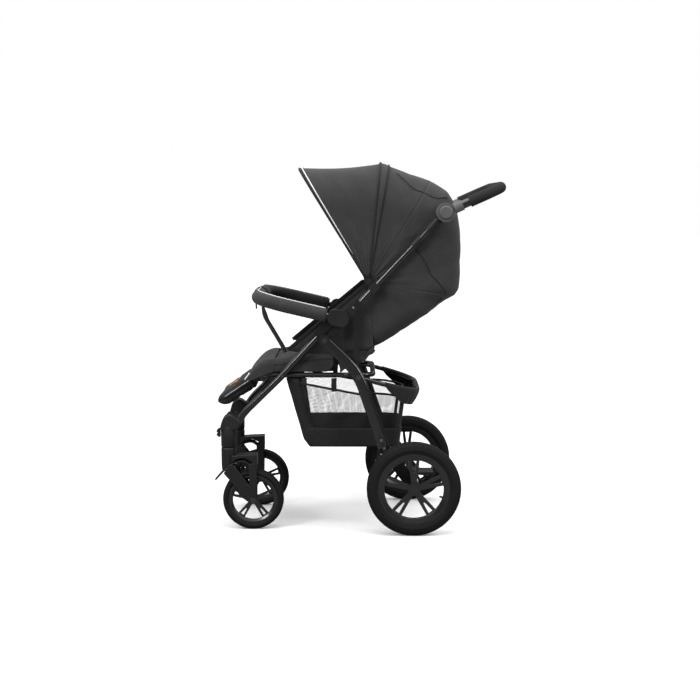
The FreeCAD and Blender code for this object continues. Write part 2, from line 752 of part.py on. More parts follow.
def bow(name, layer, reach, angle):
    """A flat bow across the stroller, with an eye on each canopy pin."""
    middle = f"(frame_half_width - push_radius - 2.5 - bow_pitch * {layer} - 0.5 - bow_eye / 2)"
    half_wall, half_depth = "(bow_wall / 2)", "(bow_depth / 2)"
    section = ([(f"-{half_wall}", f"-{half_depth}"), (half_wall, f"-{half_depth}"),
                (half_wall, half_depth), (f"-{half_wall}", half_depth)], "2")
    strip = tube(name + "_strip", [(middle, "9"), (middle, reach), (f"-{middle}", reach),
                                   (f"-{middle}", "9")], "bow_bend", None, None, "XY_Plane", None, section)
    place(strip, ("0", CANOPY_Y, CANOPY_Z), angle)
    eyes = [cut(rod("12", "bow_eye", (f"{middle_x} - bow_eye / 2", CANOPY_Y, CANOPY_Z)),
                rod("canopy_pin_radius + running_fit", "bow_eye + 2",
                    (f"{middle_x} - bow_eye / 2 - 1", CANOPY_Y, CANOPY_Z)))
            for middle_x in (middle, f"-{middle}")]
    pin_clear = rod("canopy_pin_radius + running_fit", "frame_half_width * 2",
                    ("-frame_half_width", CANOPY_Y, CANOPY_Z))
    piece(name, cut(fused(strip, *eyes), pin_clear))


def canopy_hub():
    """Disc on the canopy pin that the folding frame turns to push the canopy shut."""
    low = "(frame_half_width - push_radius - 2.5 - 0.5 - bow_eye)"
    disc = rod("15", "bow_eye", (low, CANOPY_Y, CANOPY_Z))
    tail = block(("bow_eye", "22", "10"), (low, CANOPY_Y, f"{CANOPY_Z} - 5"), "200")
    bore = rod("canopy_pin_radius + running_fit", "bow_eye + 2", (f"{low} - 1", CANOPY_Y, CANOPY_Z))
    return cut(fused(disc, tail), bore)


def polar(angle, reach):
    """A point of the canopy, by direction and distance from its pivot."""
    return f"({CANOPY_Y} + ({reach}) * cos({angle}))", f"({CANOPY_Z} + ({reach}) * sin({angle}))"


def hood_segment(name, crest, inner_crest):
    """A stretch of hood: two side walls that meet near the pivot, and the crest over them."""
    outer = new_body(name + "_outside")
    first, last = crest[0], crest[-1]
    root = [polar_between(first, last)]
    add_pad(outer, [*crest, *root], "-canopy_side - fabric", "canopy_side + fabric")
    inner = new_body(name + "_inside")
    add_pad(inner, inner_crest, "-canopy_side", "canopy_side")
    keep = rod("24", "canopy_side * 3", ("-canopy_side * 1.5", CANOPY_Y, CANOPY_Z))
    piece(name, cut(outer, inner, keep))


def polar_between(first, last):
    """The lower corner of a hood segment, close to the canopy pivot."""
    return CANOPY_Y, CANOPY_Z


def canopy_front_panel():
    wall = "(bow_wall / 2 + 3.3)"
    crest = [polar("front_bow_angle", f"front_bow_reach + {wall} + fabric"),
             polar("(front_bow_angle + mid_bow_angle) / 2", f"mid_bow_reach + {wall} + fabric + 2"),
             polar("mid_bow_angle + 1", f"mid_bow_reach + {wall} + fabric")]
    inside = [polar("front_bow_angle + 8", f"front_bow_reach + {wall} + 18"),
              polar("front_bow_angle", f"front_bow_reach + {wall}"),
              polar("(front_bow_angle + mid_bow_angle) / 2", f"mid_bow_reach + {wall} + 2"),
              polar("mid_bow_angle + 1", f"mid_bow_reach + {wall}"),
              polar("mid_bow_angle - 8", f"mid_bow_reach + {wall} - 4"),
              (CANOPY_Y, f"{CANOPY_Z} - 30")]
    hood_segment("canopy_front_panel", crest, inside)


def head_profile(inset):
    """Side view of the fabric behind the child, from the middle bow down to the seat."""
    return [(f"{CANOPY_Y} + 89 - {inset} * 0.3", f"{CANOPY_Z} + 340 - {inset}"),
            (f"{CANOPY_Y} + 190 - {inset} * 0.6", f"{CANOPY_Z} + 305 - {inset}"),
            (f"{CANOPY_Y} + 258 - {inset}", f"{CANOPY_Z} + 256 - {inset} * 0.7"),
            (f"head_back_y - {inset}", f"{CANOPY_Z} + 170"),
            (f"head_back_y - {inset}", f"{CANOPY_Z} - 18"),
            (f"head_back_y - 42 - {inset} * 0.3", f"{CANOPY_Z} - 54 + {inset}")]


def canopy_rear():
    """Third stretch of the hood and the back wall below it, open to the front."""
    wall = "(bow_wall / 2 + 3.3)"
    outer = new_body("canopy_rear_outside")
    lower = [("recline_y + 226", "recline_z + 142"), ("recline_y + 60", "recline_z + 26"),
             ("recline_y + 40", "recline_z + 60")]
    start = polar("mid_bow_angle - 1", f"mid_bow_reach + {wall} + fabric")
    add_pad(outer, [start, *head_profile("0"), *lower, (CANOPY_Y, CANOPY_Z)],
            "-canopy_side - fabric", "canopy_side + fabric")
    inner = new_body("canopy_rear_inside")
    start_inside = polar("mid_bow_angle - 1", f"mid_bow_reach + {wall}")
    lower_inside = [("recline_y + 222", "recline_z + 142 + fabric"),
                    ("recline_y + 56", "recline_z + 26 + fabric"), ("recline_y + 10", "recline_z + 10"),
                    ("recline_y - 40", "recline_z + 60")]
    beyond = polar("mid_bow_angle + 8", f"mid_bow_reach + {wall}")
    add_pad(inner, [start_inside, *head_profile("fabric"), *lower_inside, (CANOPY_Y + " - 60", CANOPY_Z),
                    beyond], "-canopy_side", "canopy_side")
    keep = rod("24", "canopy_side * 3", ("-canopy_side * 1.5", CANOPY_Y, CANOPY_Z))
    tube_clear = rod("16", "push_length", ("frame_half_width", *along_push("0")), "push_angle")
    piece("canopy_rear", cut(outer, inner, keep, tube_clear, mirror(tube_clear)))


def side_panel():
    """Soft side wall of the seat, below the canopy."""
    outline = [("leg_pin_y + 22", "seat_top + 4"), ("hinge_y - 46", "hinge_z - 6"),
               ("hinge_y + 28", "hinge_z + 60"), (f"{CANOPY_Y} - 16", f"{CANOPY_Z} - 8"),
               ("head_back_y - 8", f"{CANOPY_Z} + 40"), ("head_back_y - 8", f"{CANOPY_Z} - 10"),
               ("head_back_y - 50", f"{CANOPY_Z} - 44"), ("recline_y + 222", "recline_z + 156"),
               ("recline_y + 60", "recline_z + 40"), ("recline_y + 20", "recline_z + 24")]
    body = new_body("side_panel")
    add_pad(body, outline, "canopy_side - 17.3", "canopy_side - 14.3", "4")
    return body


# ---------------------------------------------------------------- backrest

def backrest():
    """Reclining board with its pivot barrel, and the pad that lies on it."""
    half = "backrest_half_width"
    board = new_body("backrest_board_body")
    add_pad(board, [("0", "-board_wall / 2"), ("backrest_length", "-board_wall / 2"),
                    ("backrest_length", "board_wall / 2"), ("0", "board_wall / 2")], f"-{half}", half)
    place(board, ("0", "recline_y", "recline_z"), "recline_angle")
    barrel = rod("recline_pin_radius + 4", f"2 * {half}", (f"-{half}", "recline_y", "recline_z"))
    bore = rod("recline_pin_radius + running_fit", f"4 * {half}", (f"-2 * {half}", "recline_y", "recline_z"))
    piece("backrest_board", cut(fused(board, barrel), bore))
    cushion = new_body("backrest_cushion_body")
    base = "board_wall / 2 + 0.3"
    add_pad(cushion, [("14", base), ("backrest_length", base), ("backrest_length", f"{base} + backrest_pad"),
                      ("20", f"{base} + backrest_pad")], f"-{half}", half, {2: "10", 3: "10"})
    piece("backrest_cushion", place(cushion, ("0", "recline_y", "recline_z"), "recline_angle"))


# ---------------------------------------------------------------- seat, harness and footrest

def seat():
    route = [(RAIL_X, "footrest_y + 4"), (RAIL_X, "rail_rear_y"), (f"-{RAIL_X}", "rail_rear_y"),
             (f"-{RAIL_X}", "footrest_y + 4")]
    rails = tube("seat_rails", route, "rail_bend", "rail_radius", "tube_wall", "XY_Plane")
    piece("seat_frame_tube", place(rails, ("0", "0", "rail_z")))
    cushion = new_body("seat_cushion_body")
    floor = "(rail_z + rail_radius + 3.3)"
    outline = [("seat_front_y + 8", floor), ("seat_rear_y", floor), ("seat_rear_y", "seat_top - 8"),
               ("seat_rear_y - 110", "seat_top"), ("seat_front_y + 82", "seat_top - 6"),
               ("seat_front_y + 8", "seat_top - 28"), ("seat_front_y", "seat_top - 48")]
    add_pad(cushion, outline, "-seat_half_width", "seat_half_width",
            {0: "6", 2: "12", 3: "80", 4: "60", 5: "14", 6: "8"})
    slot = block(("34", "6", "80"), ("-17", "seat_front_y + 118", "seat_top - 30"))
    piece("seat_cushion", cut(cushion, slot))
    buckle = new_body("harness_buckle_body")
    add_pad(buckle, [("-22", "-17"), ("22", "-17"), ("26", "12"), ("0", "24"), ("-26", "12")],
            "0", "12", "6", (), (), "XY_Plane")
    piece("harness_buckle", place(buckle, ("0", "seat_rear_y - 96", "seat_top + 0.4")))
    joint = block(("19.5", "66", "rail_radius + 22"), (f"{RAIL_X} - 13", "footrest_y - 34", "rail_z - 19"))
    rail_bore = tube("joint_rail_bore", [(RAIL_X, "footrest_y + 3"), (RAIL_X, "footrest_y + 90")], None,
                     "rail_radius + running_fit", None, "XY_Plane")
    place(rail_bore, ("0", "0", "rail_z"))
    axle_bore = rod("footrest_rod + running_fit", "40", (f"{RAIL_X} - 30", "footrest_y - 12", "rail_z"))
    cap = rod("10", "2.8", (f"{RAIL_X} + 6", "footrest_y - 14", "rail_z"))
    as_pair("footrest_joints", fused(cut(joint, rail_bore, axle_bore), cap))


def footrest():
    """U-shaped rod that turns in the footrest joints, and the pad that hangs on it."""
    arm_x = "(footrest_half_width - 10)"
    hinge = ("0", "footrest_y - 12", "rail_z")
    def bent_rod(name, radius):
        body = tube(name, [(arm_x, "0"), (arm_x, "footrest_reach"), (f"-{arm_x}", "footrest_reach"),
                           (f"-{arm_x}", "0")], "24", radius, None, "XY_Plane")
        return place(body, hinge, "footrest_angle")
    axle = rod("footrest_rod", f"2 * ({RAIL_X} - 6)", (f"-({RAIL_X} - 6)", *hinge[1:]))
    piece("footrest_frame", fused(bent_rod("footrest_rods", "footrest_rod"), axle))
    pad = new_body("footrest_pad_body")
    half = "(footrest_pad_wall / 2)"
    outline = [("18", f"-{half}"), ("footrest_reach + 18", f"-{half} + 4"),
               ("footrest_reach + 18", f"{half} - 4"), ("18", half)]
    add_pad(pad, outline, "-footrest_half_width", "footrest_half_width", {1: "9", 2: "9"})
    place(pad, hinge, "footrest_angle")
    piece("footrest_pad", cut(pad, bent_rod("footrest_rods_clear", "footrest_rod + 0.3")))


# ---------------------------------------------------------------- bumper bar

def bumper():
    """Padded bar in front of the child: two adapters on the main hinge pins, a core and its cover."""
    side = "bumper_half_width"
    def bent(name, start, bend, radius, wall=None):
        body = tube(name, [(side, start), (side, "bumper_reach"), (f"-{side}", "bumper_reach"),
                           (f"-{side}", start)], bend, radius, wall, "XY_Plane")
        return place(body, ("0", "hinge_y", "hinge_z"), "bumper_angle")
    oval = new_body("bumper_adapter_body")
    add_pad(oval, [("-adapter_half_length", "-adapter_half_height"),
                   ("adapter_half_length", "-adapter_half_height"),
                   ("adapter_half_length", "adapter_half_height"),
                   ("-adapter_half_length", "adapter_half_height")],
            ADAPTER_IN, f"{ADAPTER_IN} + adapter_width", "adapter_half_height - 2")
    place(oval, ("0", "hinge_y", "hinge_z"), "bumper_angle")
    socket = place(tube("bumper_socket", [(side, "9"), (side, "adapter_half_length + 9")], None,
                        "bumper_core_radius + running_fit", None, "XY_Plane"),
                   ("0", "hinge_y", "hinge_z"), "bumper_angle")
    pin_bore = rod("hinge_pin_radius + running_fit", "36", (f"{ADAPTER_IN} - 6", "hinge_y", "hinge_z"))
    as_pair("bumper_adapters", cut(oval, socket, pin_bore))
    core = bent("bumper_core_body", "10", "bumper_bend", "bumper_core_radius", "tube_wall")
    piece("bumper_core", core)
    cover = bent("bumper_cover_body", "adapter_half_length + 4", "bumper_bend", "bumper_cover_radius",
                 "(bumper_cover_radius - bumper_core_radius - 0.2)")
    piece("bumper_cover", cover)


def crotch_strap():
    """Webbing from a loop under the bumper bar down to the seat."""
    bar_y = "(hinge_y + bumper_reach * cos(bumper_angle))"
    bar_z = "(hinge_z + bumper_reach * sin(bumper_angle))"
    top = f"({bar_z} - bumper_cover_radius - 0.5)"
    outline = [(f"{bar_y} - 3", top), (f"{bar_y} + 9", f"{bar_z} - 78"),
               ("seat_front_y + 98", "seat_top + 1"), ("seat_front_y + 104", "seat_top + 1"),
               (f"{bar_y} + 13", f"{bar_z} - 78"), (f"{bar_y} + 3", top)]
    body = new_body("crotch_strap_body")
    add_pad(body, outline, "-15", "15")
    piece("crotch_strap", body)


# ---------------------------------------------------------------- rear frame

def bracket_bolts(radius, start, length):
    """The two bolts, or their bores, that hold an axle bracket to the foot of the rear leg."""
    return [rod(radius, length, (start, f"rear_leg_foot_y - {back}", f"rear_leg_foot_z + {rise}"))
            for back, rise in ((12, 32), (4, 9))]


def rear_leg():
    """Curved flat tube from the rear pivot down to the axle bracket."""
    half_wall, half_depth = "(rear_leg_wall / 2)", "(rear_leg_depth / 2)"
    section = ([(f"-{half_wall}", f"-{half_depth}"), (half_wall, f"-{half_depth}"),
                (half_wall, half_depth), (f"-{half_wall}", half_depth)], f"{half_wall} - 1")
    route = [(PIVOT_Y, PIVOT_Z), ("rear_bolt_y - 2", "rail_z + 14"),
             ("rear_leg_foot_y", "rear_leg_foot_z")]
    leg = tube("rear_leg_body", route, "220", None, None, "YZ_Plane", "rear_leg_x", section)
    end = rod("rear_leg_depth / 2", "rear_leg_wall", (REAR_LEG_IN, PIVOT_Y, PIVOT_Z))
    bore = rod("bolt_radius + running_fit", "60", (f"{REAR_LEG_IN} - 20", PIVOT_Y, PIVOT_Z))
    seat_bore = rod("bolt_radius + running_fit", "60", (f"{REAR_LEG_IN} - 20", "rear_bolt_y", "rail_z"))
    foot_bores = bracket_bolts("bolt_radius - 1 + running_fit", f"{REAR_LEG_IN} - 20", "60")
    return cut(fused(leg, end), bore, seat_bore, *foot_bores)


def rear_pivot_bolt():
    """Bolt through the hinge cover and the rear leg, with a round head outside."""
    shank = rod("bolt_radius", f"{REAR_LEG_OUT} - frame_half_width + cheek_gap + 1",
                ("frame_half_width - cheek_gap", PIVOT_Y, PIVOT_Z))
    head = rod("bolt_head", "3", (f"{REAR_LEG_OUT} + 0.3", PIVOT_Y, PIVOT_Z))
    return fused(shank, head)


def seat_pivot_bolt():
    """Bolt through the rear leg, with the spacer that reaches in to the seat rail."""
    shank = rod("bolt_radius", f"{REAR_LEG_OUT} - {RAIL_X} - rail_radius - 0.3 + 1",
                (f"{RAIL_X} + rail_radius + 0.3", "rear_bolt_y", "rail_z"))
    spacer = rod("bolt_head", f"{REAR_LEG_IN} - {RAIL_X} - rail_radius - 0.6",
                 (f"{RAIL_X} + rail_radius + 0.3", "rear_bolt_y", "rail_z"))
    head = rod("bolt_head", "3", (f"{REAR_LEG_OUT} + 0.3", "rear_bolt_y", "rail_z"))
    return fused(shank, spacer, head)


def axle_bracket():
    """Plate inside the rear leg that carries the axle behind it, with its two bolts."""
    low = f"({REAR_LEG_IN} - bracket_wall - 0.2)"
    outline = [("rear_leg_foot_y - 34", "rear_leg_foot_z + 50"), ("rear_leg_foot_y - 8", "rear_leg_foot_z + 58"),
               ("rear_leg_foot_y + 22", "rear_leg_foot_z - 4"), ("rear_axle_y + 12", f"{REAR_AXLE_Z} + 15"),
               ("rear_axle_y + 12", f"{REAR_AXLE_Z} - 16"), ("rear_axle_y - 14", f"{REAR_AXLE_Z} - 16"),
               ("rear_leg_foot_y - 12", "rear_leg_foot_z - 12")]
    body = new_body("axle_bracket_body")
    hole = ("rear_axle_y", REAR_AXLE_Z, "axle_tube_radius + running_fit")
    add_pad(body, outline, low, f"{low} + bracket_wall", {0: "10", 1: "10", 2: "30", 3: "12", 4: "12", 5: "12",
                                                          6: "30"}, [hole])
    return body, bracket_bolts("bolt_radius - 1", f"{low} + 1", "rear_leg_wall + bracket_wall + 3")


def rear_axle():
    """Axle tube between the brackets, with the stub that carries each rear wheel."""
    low = f"({REAR_LEG_IN} - bracket_wall - 0.2)"
    half = f"({low} + bracket_wall + 12)"
    beam = rod("axle_tube_radius", f"2 * {half}", (f"-{half}", "rear_axle_y", REAR_AXLE_Z))
    reach = f"(rear_track_half + rear_tyre_width / 2 - 9)"
    stub = rod("rear_axle_radius", f"2 * {reach}", (f"-{reach}", "rear_axle_y", REAR_AXLE_Z))
    return fused(beam, stub)


def basket_hoop():
    """Hoop behind the seat that holds the back of the basket open."""
    hoop = tube("basket_hoop_body", [("hoop_half_width", "0"), ("hoop_half_width", "hoop_reach"),
                                     ("-hoop_half_width", "hoop_reach"), ("-hoop_half_width", "0")],
                "hoop_bend", "hoop_radius", None, "XY_Plane")
    place(hoop, ("0", "hoop_y", "hoop_z"), "hoop_angle")
    reach = f"({REAR_LEG_IN} - 0.2)"
    pegs = [rod("hoop_radius - 1", f"{reach} - hoop_half_width + 2",
                (start, "hoop_y + 5", "hoop_z - 3"))
            for start in ("hoop_half_width - 2", f"-{reach}")]
    return fused(hoop, *pegs)


def brake_pedal():
    """Bar under the axle with a foot tread, turned down to lock the rear wheels."""
    collar = cut(rod("axle_tube_radius + 5", "90", ("-45", "rear_axle_y", REAR_AXLE_Z)),
                 rod("axle_tube_radius + 0.3", "92", ("-46", "rear_axle_y", REAR_AXLE_Z)))
    tread = block(("84", "58", "9"), ("-42", "rear_axle_y + axle_tube_radius + 3", f"{REAR_AXLE_Z} - 2"))
    return fused(collar, tread)


# ---------------------------------------------------------------- basket

def rectangle(sketch, half_width, front, rear):
    draw_lines(sketch, [(f"-{half_width}", front), (half_width, front), (half_width, rear),
                        (f"-{half_width}", rear)], True, "14")


def loft(body, kind, layers):
    """A loft through rectangles given by half width, front, rear and height."""
    sketches = []
    for half_width, front, rear, height in layers:
        sketch = new_sketch(body, "XY_Plane", height)
        rectangle(sketch, half_width, front, rear)
        sketches.append(sketch)
    feature = body.newObject(kind, "Loft")
    feature.Profile = sketches[0]
    feature.Sections = sketches[1:]
    feature.Ruled = True
    body.Tip = feature


BASKET_RIM = "(rail_z - rail_radius - 0.3)"


def basket():
    """Open-topped bag between the seat rails and the axle."""
    wall = "basket_wall"
    body = new_body("basket_body")
    loft(body, "PartDesign::AdditiveLoft",
         [("basket_floor_half_width", "basket_floor_front_y", "basket_floor_rear_y", "basket_floor_z"),
          ("basket_half_width", "basket_front_y", "basket_rear_y", BASKET_RIM)])
    loft(body, "PartDesign::SubtractiveLoft",
         [(f"(basket_floor_half_width - {wall})", f"basket_floor_front_y + {wall}",
           f"basket_floor_rear_y - {wall}", f"basket_floor_z + {wall}"),
          (f"(basket_half_width - {wall})", f"basket_front_y + {wall}", f"basket_rear_y - {wall}",
           BASKET_RIM + " + 1")])
    return body


# ---------------------------------------------------------------- the whole stroller

left_and_right("front_leg", front_leg())
piece("front_crossbar", front_crossbar())
as_pair("strut_housings", strut_housing())
as_pair("hinge_cheeks", hinge_cheek())
as_pair("frame_pins", *frame_pins())
piece("basket", basket())
left_and_right("swivel_lock", swivel_lock())
left_and_right("fork", fork())
left_and_right("front_axle", front_axle())
left_and_right("push_tube", push_tube())
as_pair("hinge_covers", hinge_cover())
as_pair("tilt_bases", tilt_base())
as_pair("rear_pivot_bolts", rear_pivot_bolt())
as_pair("canopy_clips", canopy_clip())
as_pair("backrest_hangers", backrest_hanger())
as_pair("side_panels", side_panel())
canopy_rear()
left_and_right("fold_trigger", fold_trigger())
piece("handle_tube", at_handle(tube("handle_tube_body", handle_route("disc_radius"), "handle_bend",
                                    "handle_radius", "tube_wall", "XY_Plane")))
piece("handle_grip", at_handle(tube("handle_grip_body", handle_route("grip_start"), "handle_bend",
                                    "grip_radius", "(grip_radius - handle_radius - 0.2)", "XY_Plane")))
as_pair("handle_discs", handle_disc())
left_and_right("handle_button", handle_button())
as_pair("canopy_hubs", canopy_hub())
bow("mid_bow", 1, "mid_bow_reach", "mid_bow_angle")
bow("front_bow", 2, "front_bow_reach", "front_bow_angle")
canopy_front_panel()
backrest()
seat()
footrest()
bumper()
crotch_strap()
left_and_right("rear_leg", rear_leg())
piece("rear_axle", rear_axle())
bracket, bracket_bolts = axle_bracket()
as_pair("axle_brackets", fused(bracket, *bracket_bolts))
piece("basket_hoop", basket_hoop())
as_pair("seat_pivot_bolts", seat_pivot_bolt())
piece("brake_pedal", brake_pedal())


# ---------------------------------------------------------------- check and write

doc.recompute()
for item in doc.Objects:
    if {"Invalid", "Error"} & set(item.State):
        raise RuntimeError(f"{item.Label} ({item.Name}) failed: {item.State}")
for label, item in PIECES.items():
    if item.Shape.isNull() or not item.Shape.isValid():
        raise RuntimeError(f"{label} has no valid shape")

os.makedirs("parts", exist_ok=True)
for label, item in PIECES.items():
    item.Shape.exportStep(f"parts/{label}.step")
    print(f"{label:22s} {len(item.Shape.Solids)} solids  {item.Shape.Volume / 1000:9.2f} cm3")
print(len(PIECES), "pieces")
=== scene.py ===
# %% [markdown]
# # A folding baby stroller, dressed around its fixed frame
# The metal and plastic parts are already designed, and they stay exactly where they are.
# This lesson adds what sewing, moulding and painting add: finishes for every hard part, rounder
# mouldings for the front struts and forks, and real fabric shapes in place of the plain solids that
# stand for cushions, hood, panels and basket.

# %% Load the frame and keep its box
import json
import math
import bmesh
import bpy
import numpy as np
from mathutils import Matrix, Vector
from mathutils.bvhtree import BVHTree


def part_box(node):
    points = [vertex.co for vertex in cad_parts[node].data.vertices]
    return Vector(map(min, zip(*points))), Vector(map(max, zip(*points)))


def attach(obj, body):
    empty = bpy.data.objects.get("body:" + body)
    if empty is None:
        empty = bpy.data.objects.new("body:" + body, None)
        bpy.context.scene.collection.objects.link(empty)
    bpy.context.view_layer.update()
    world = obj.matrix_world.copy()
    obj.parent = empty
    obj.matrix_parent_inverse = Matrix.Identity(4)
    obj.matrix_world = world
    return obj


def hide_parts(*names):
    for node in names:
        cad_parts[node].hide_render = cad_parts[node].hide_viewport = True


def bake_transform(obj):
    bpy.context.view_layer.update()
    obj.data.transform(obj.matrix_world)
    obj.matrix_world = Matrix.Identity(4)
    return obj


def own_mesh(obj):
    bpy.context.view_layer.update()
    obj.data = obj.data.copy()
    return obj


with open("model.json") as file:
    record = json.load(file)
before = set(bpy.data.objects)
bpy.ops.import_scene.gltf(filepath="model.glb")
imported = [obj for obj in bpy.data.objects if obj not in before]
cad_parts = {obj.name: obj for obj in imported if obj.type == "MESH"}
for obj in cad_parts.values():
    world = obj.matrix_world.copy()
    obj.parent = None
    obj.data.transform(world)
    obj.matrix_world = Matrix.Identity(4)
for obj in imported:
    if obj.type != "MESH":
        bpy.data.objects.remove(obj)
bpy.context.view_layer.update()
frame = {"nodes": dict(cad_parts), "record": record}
nodes = frame["nodes"]
joints = {joint["name"]: joint for joint in frame["record"]["behaviour"]["joints"]}
SIDES = (("left", 1), ("right", -1))


def pivot(joint):
    """The point that a joint turns about, in metres."""
    return np.array(joints[joint]["pos_m"])


hinge = pivot("frame_fold")
canopy_pin = pivot("canopy_push")
recline_pin = pivot("backrest_recline")
footrest_pin = pivot("footrest_tilt")

# %% [markdown]
# ## Camera, floor and light
# A stroller in a catalogue stands on white, seen from its side at the height of an adult's chest.
# A long lens keeps its two sides almost on top of each other. Large soft lights give the thin bright
# lines along the tubes, and a white world keeps the dark cloth readable.

# %% Camera
camera_data = bpy.data.cameras.new("side_camera")
camera_data.lens = 75.25
camera_data.sensor_width = 36
camera = bpy.data.objects.new("side_camera", camera_data)
bpy.context.scene.collection.objects.link(camera)
camera.location = (4.6226, -0.0158, 0.992)
look_at = Vector((0.0, -0.0272, 0.535))
camera.rotation_euler = (look_at - camera.location).to_track_quat("-Z", "Y").to_euler()
bpy.context.scene.camera = camera


# %% Floor, world and soft boxes
def plain_material(name, color, roughness):
    """A material with one Principled shader, returned with that shader."""
    finish = bpy.data.materials.new(name)
    finish.use_nodes = True
    shader = finish.node_tree.nodes["Principled BSDF"]
    shader.inputs["Base Color"].default_value = (*color, 1)
    shader.inputs["Roughness"].default_value = roughness
    return finish, shader


floor_mesh = bpy.data.meshes.new("studio_floor")
floor_mesh.from_pydata([(-40, -40, 0), (40, -40, 0), (40, 40, 0), (-40, 40, 0)], [], [(0, 1, 2, 3)])
floor = bpy.data.objects.new("studio_floor", floor_mesh)
bpy.context.scene.collection.objects.link(floor)
floor_finish, floor_shader = plain_material("studio_paper", (0.97, 0.97, 0.97), 0.95)
floor_shader.inputs["Specular IOR Level"].default_value = 0.1
floor_shader.inputs["Emission Strength"].default_value = 0.06
floor_tree = floor_finish.node_tree
floor_seen = floor_tree.nodes.new("ShaderNodeLightPath")
for label, unseen in (("Base Color", (0.22, 0.22, 0.22, 1)), ("Emission Color", (0, 0, 0, 1))):
    choice = floor_tree.nodes.new("ShaderNodeMix")
    choice.data_type = "RGBA"
    choice.inputs["A"].default_value = unseen
    choice.inputs["B"].default_value = (0.97, 0.97, 0.97, 1)
    floor_tree.links.new(floor_seen.outputs["Is Camera Ray"], choice.inputs["Factor"])
    floor_tree.links.new(choice.outputs["Result"], floor_shader.inputs[label])
floor_mesh.materials.append(floor_finish)

world = bpy.data.worlds.new("studio_world")
bpy.context.scene.world = world
world.use_nodes = True
backdrop = world.node_tree.nodes["Background"]
backdrop.inputs["Color"].default_value = (1, 1, 1, 1)
sky = world.node_tree
seen = sky.nodes.new("ShaderNodeLightPath")
direction = sky.nodes.new("ShaderNodeTexCoord")
height = sky.nodes.new("ShaderNodeSeparateXYZ")
glow = sky.nodes.new("ShaderNodeMapRange")
glow.inputs["From Min"].default_value, glow.inputs["From Max"].default_value = 0.12, 0.85
glow.inputs["To Min"].default_value, glow.inputs["To Max"].default_value = 0.03, 1.6
level = sky.nodes.new("ShaderNodeMix")
level.inputs["B"].default_value = 1.0
sky.links.new(direction.outputs["Generated"], height.inputs[0])
sky.links.new(height.outputs["Z"], glow.inputs["Value"])
sky.links.new(glow.outputs["Result"], level.inputs["A"])
sky.links.new(seen.outputs["Is Camera Ray"], level.inputs["Factor"])
sky.links.new(level.outputs["Result"], backdrop.inputs["Strength"])
bpy.context.scene.view_settings.view_transform = "Standard"


def soft_box(name, place, target, size, power):
    light_data = bpy.data.lights.new(name, "AREA")
    light_data.shape = "RECTANGLE"
    light_data.size, light_data.size_y = size
    light_data.energy = power
    light = bpy.data.objects.new(name, light_data)
    bpy.context.scene.collection.objects.link(light)
    light.location = place
    light.rotation_euler = (Vector(target) - Vector(place)).to_track_quat("-Z", "Y").to_euler()


soft_box("top_box", (0.6, 0.0, 3.2), (0, 0, 0.5), (2.4, 2.4), 40)
soft_box("side_box", (3.0, -2.4, 2.4), (0, 0, 0.6), (0.8, 1.6), 70)
soft_box("rear_box", (2.2, 3.0, 2.0), (0, 0.1, 0.6), (0.5, 1.4), 45)

# %% [markdown]
# ## Shared effects
# Woven cloth, moulded plastic and rubber differ in scale more than in kind, so each effect is one
# node group with named inputs. `weave` crosses two sets of threads, `grain` is the fine pebble of
# a moulding tool, and `mottle` gives the slow change of tone that dust and handling leave.


# %% Node groups
def new_group(name, inputs, outputs):
    """An empty shader group with named number inputs and outputs; a vector input comes first."""
    group = bpy.data.node_groups.new(name, "ShaderNodeTree")
    group.interface.new_socket("Place", in_out="INPUT", socket_type="NodeSocketVector")
    for label, value in inputs.items():
        socket = group.interface.new_socket(label, in_out="INPUT", socket_type="NodeSocketFloat")
        socket.default_value = value
    for label in outputs:
        group.interface.new_socket(label, in_out="OUTPUT", socket_type="NodeSocketFloat")
    start = group.nodes.new("NodeGroupInput")
    end = group.nodes.new("NodeGroupOutput")
    return group, start, end


def connect(tree, source, target):
    tree.links.new(source, target)


def math_node(tree, operation, first, second=None):
    node = tree.nodes.new("ShaderNodeMath")
    node.operation = operation
    for socket, value in zip(node.inputs, (first, second)):
        if value is None:
            continue
        if isinstance(value, (int, float)):
            socket.default_value = value
        else:
            connect(tree, value, socket)
    return node.outputs[0]


def make_weave():
    group, start, end = new_group("weave", {"Threads": 900.0}, ("Height", "Thread shade"))
    split = group.nodes.new("ShaderNodeSeparateXYZ")
    connect(group, start.outputs["Place"], split.inputs[0])
    waves = []
    for axis in ("X", "Y", "Z"):
        turns = math_node(group, "MULTIPLY", split.outputs[axis], start.outputs["Threads"])
        waves.append(math_node(group, "SINE", turns))
    cross = math_node(group, "MULTIPLY", waves[0], waves[1])
    cross = math_node(group, "ADD", cross, math_node(group, "MULTIPLY", waves[1], waves[2]))
    height = math_node(group, "MULTIPLY_ADD", cross, 0.25)
    height.node.inputs[2].default_value = 0.5
    slub = group.nodes.new("ShaderNodeTexNoise")
    slub.inputs["Detail"].default_value = 3
    connect(group, start.outputs["Place"], slub.inputs["Vector"])
    connect(group, math_node(group, "MULTIPLY", start.outputs["Threads"], 0.45), slub.inputs["Scale"])
    connect(group, height, end.inputs["Height"])
    connect(group, slub.outputs["Fac"], end.inputs["Thread shade"])
    return group


def make_noise_group(name, scale, detail):
    group, start, end = new_group(name, {"Scale": scale}, ("Height",))
    noise = group.nodes.new("ShaderNodeTexNoise")
    noise.inputs["Detail"].default_value = detail
    connect(group, start.outputs["Place"], noise.inputs["Vector"])
    connect(group, start.outputs["Scale"], noise.inputs["Scale"])
    connect(group, noise.outputs["Fac"], end.inputs["Height"])
    return group


weave_group = make_weave()
grain_group = make_noise_group("grain", 1400.0, 2)
mottle_group = make_noise_group("mottle", 9.0, 4)


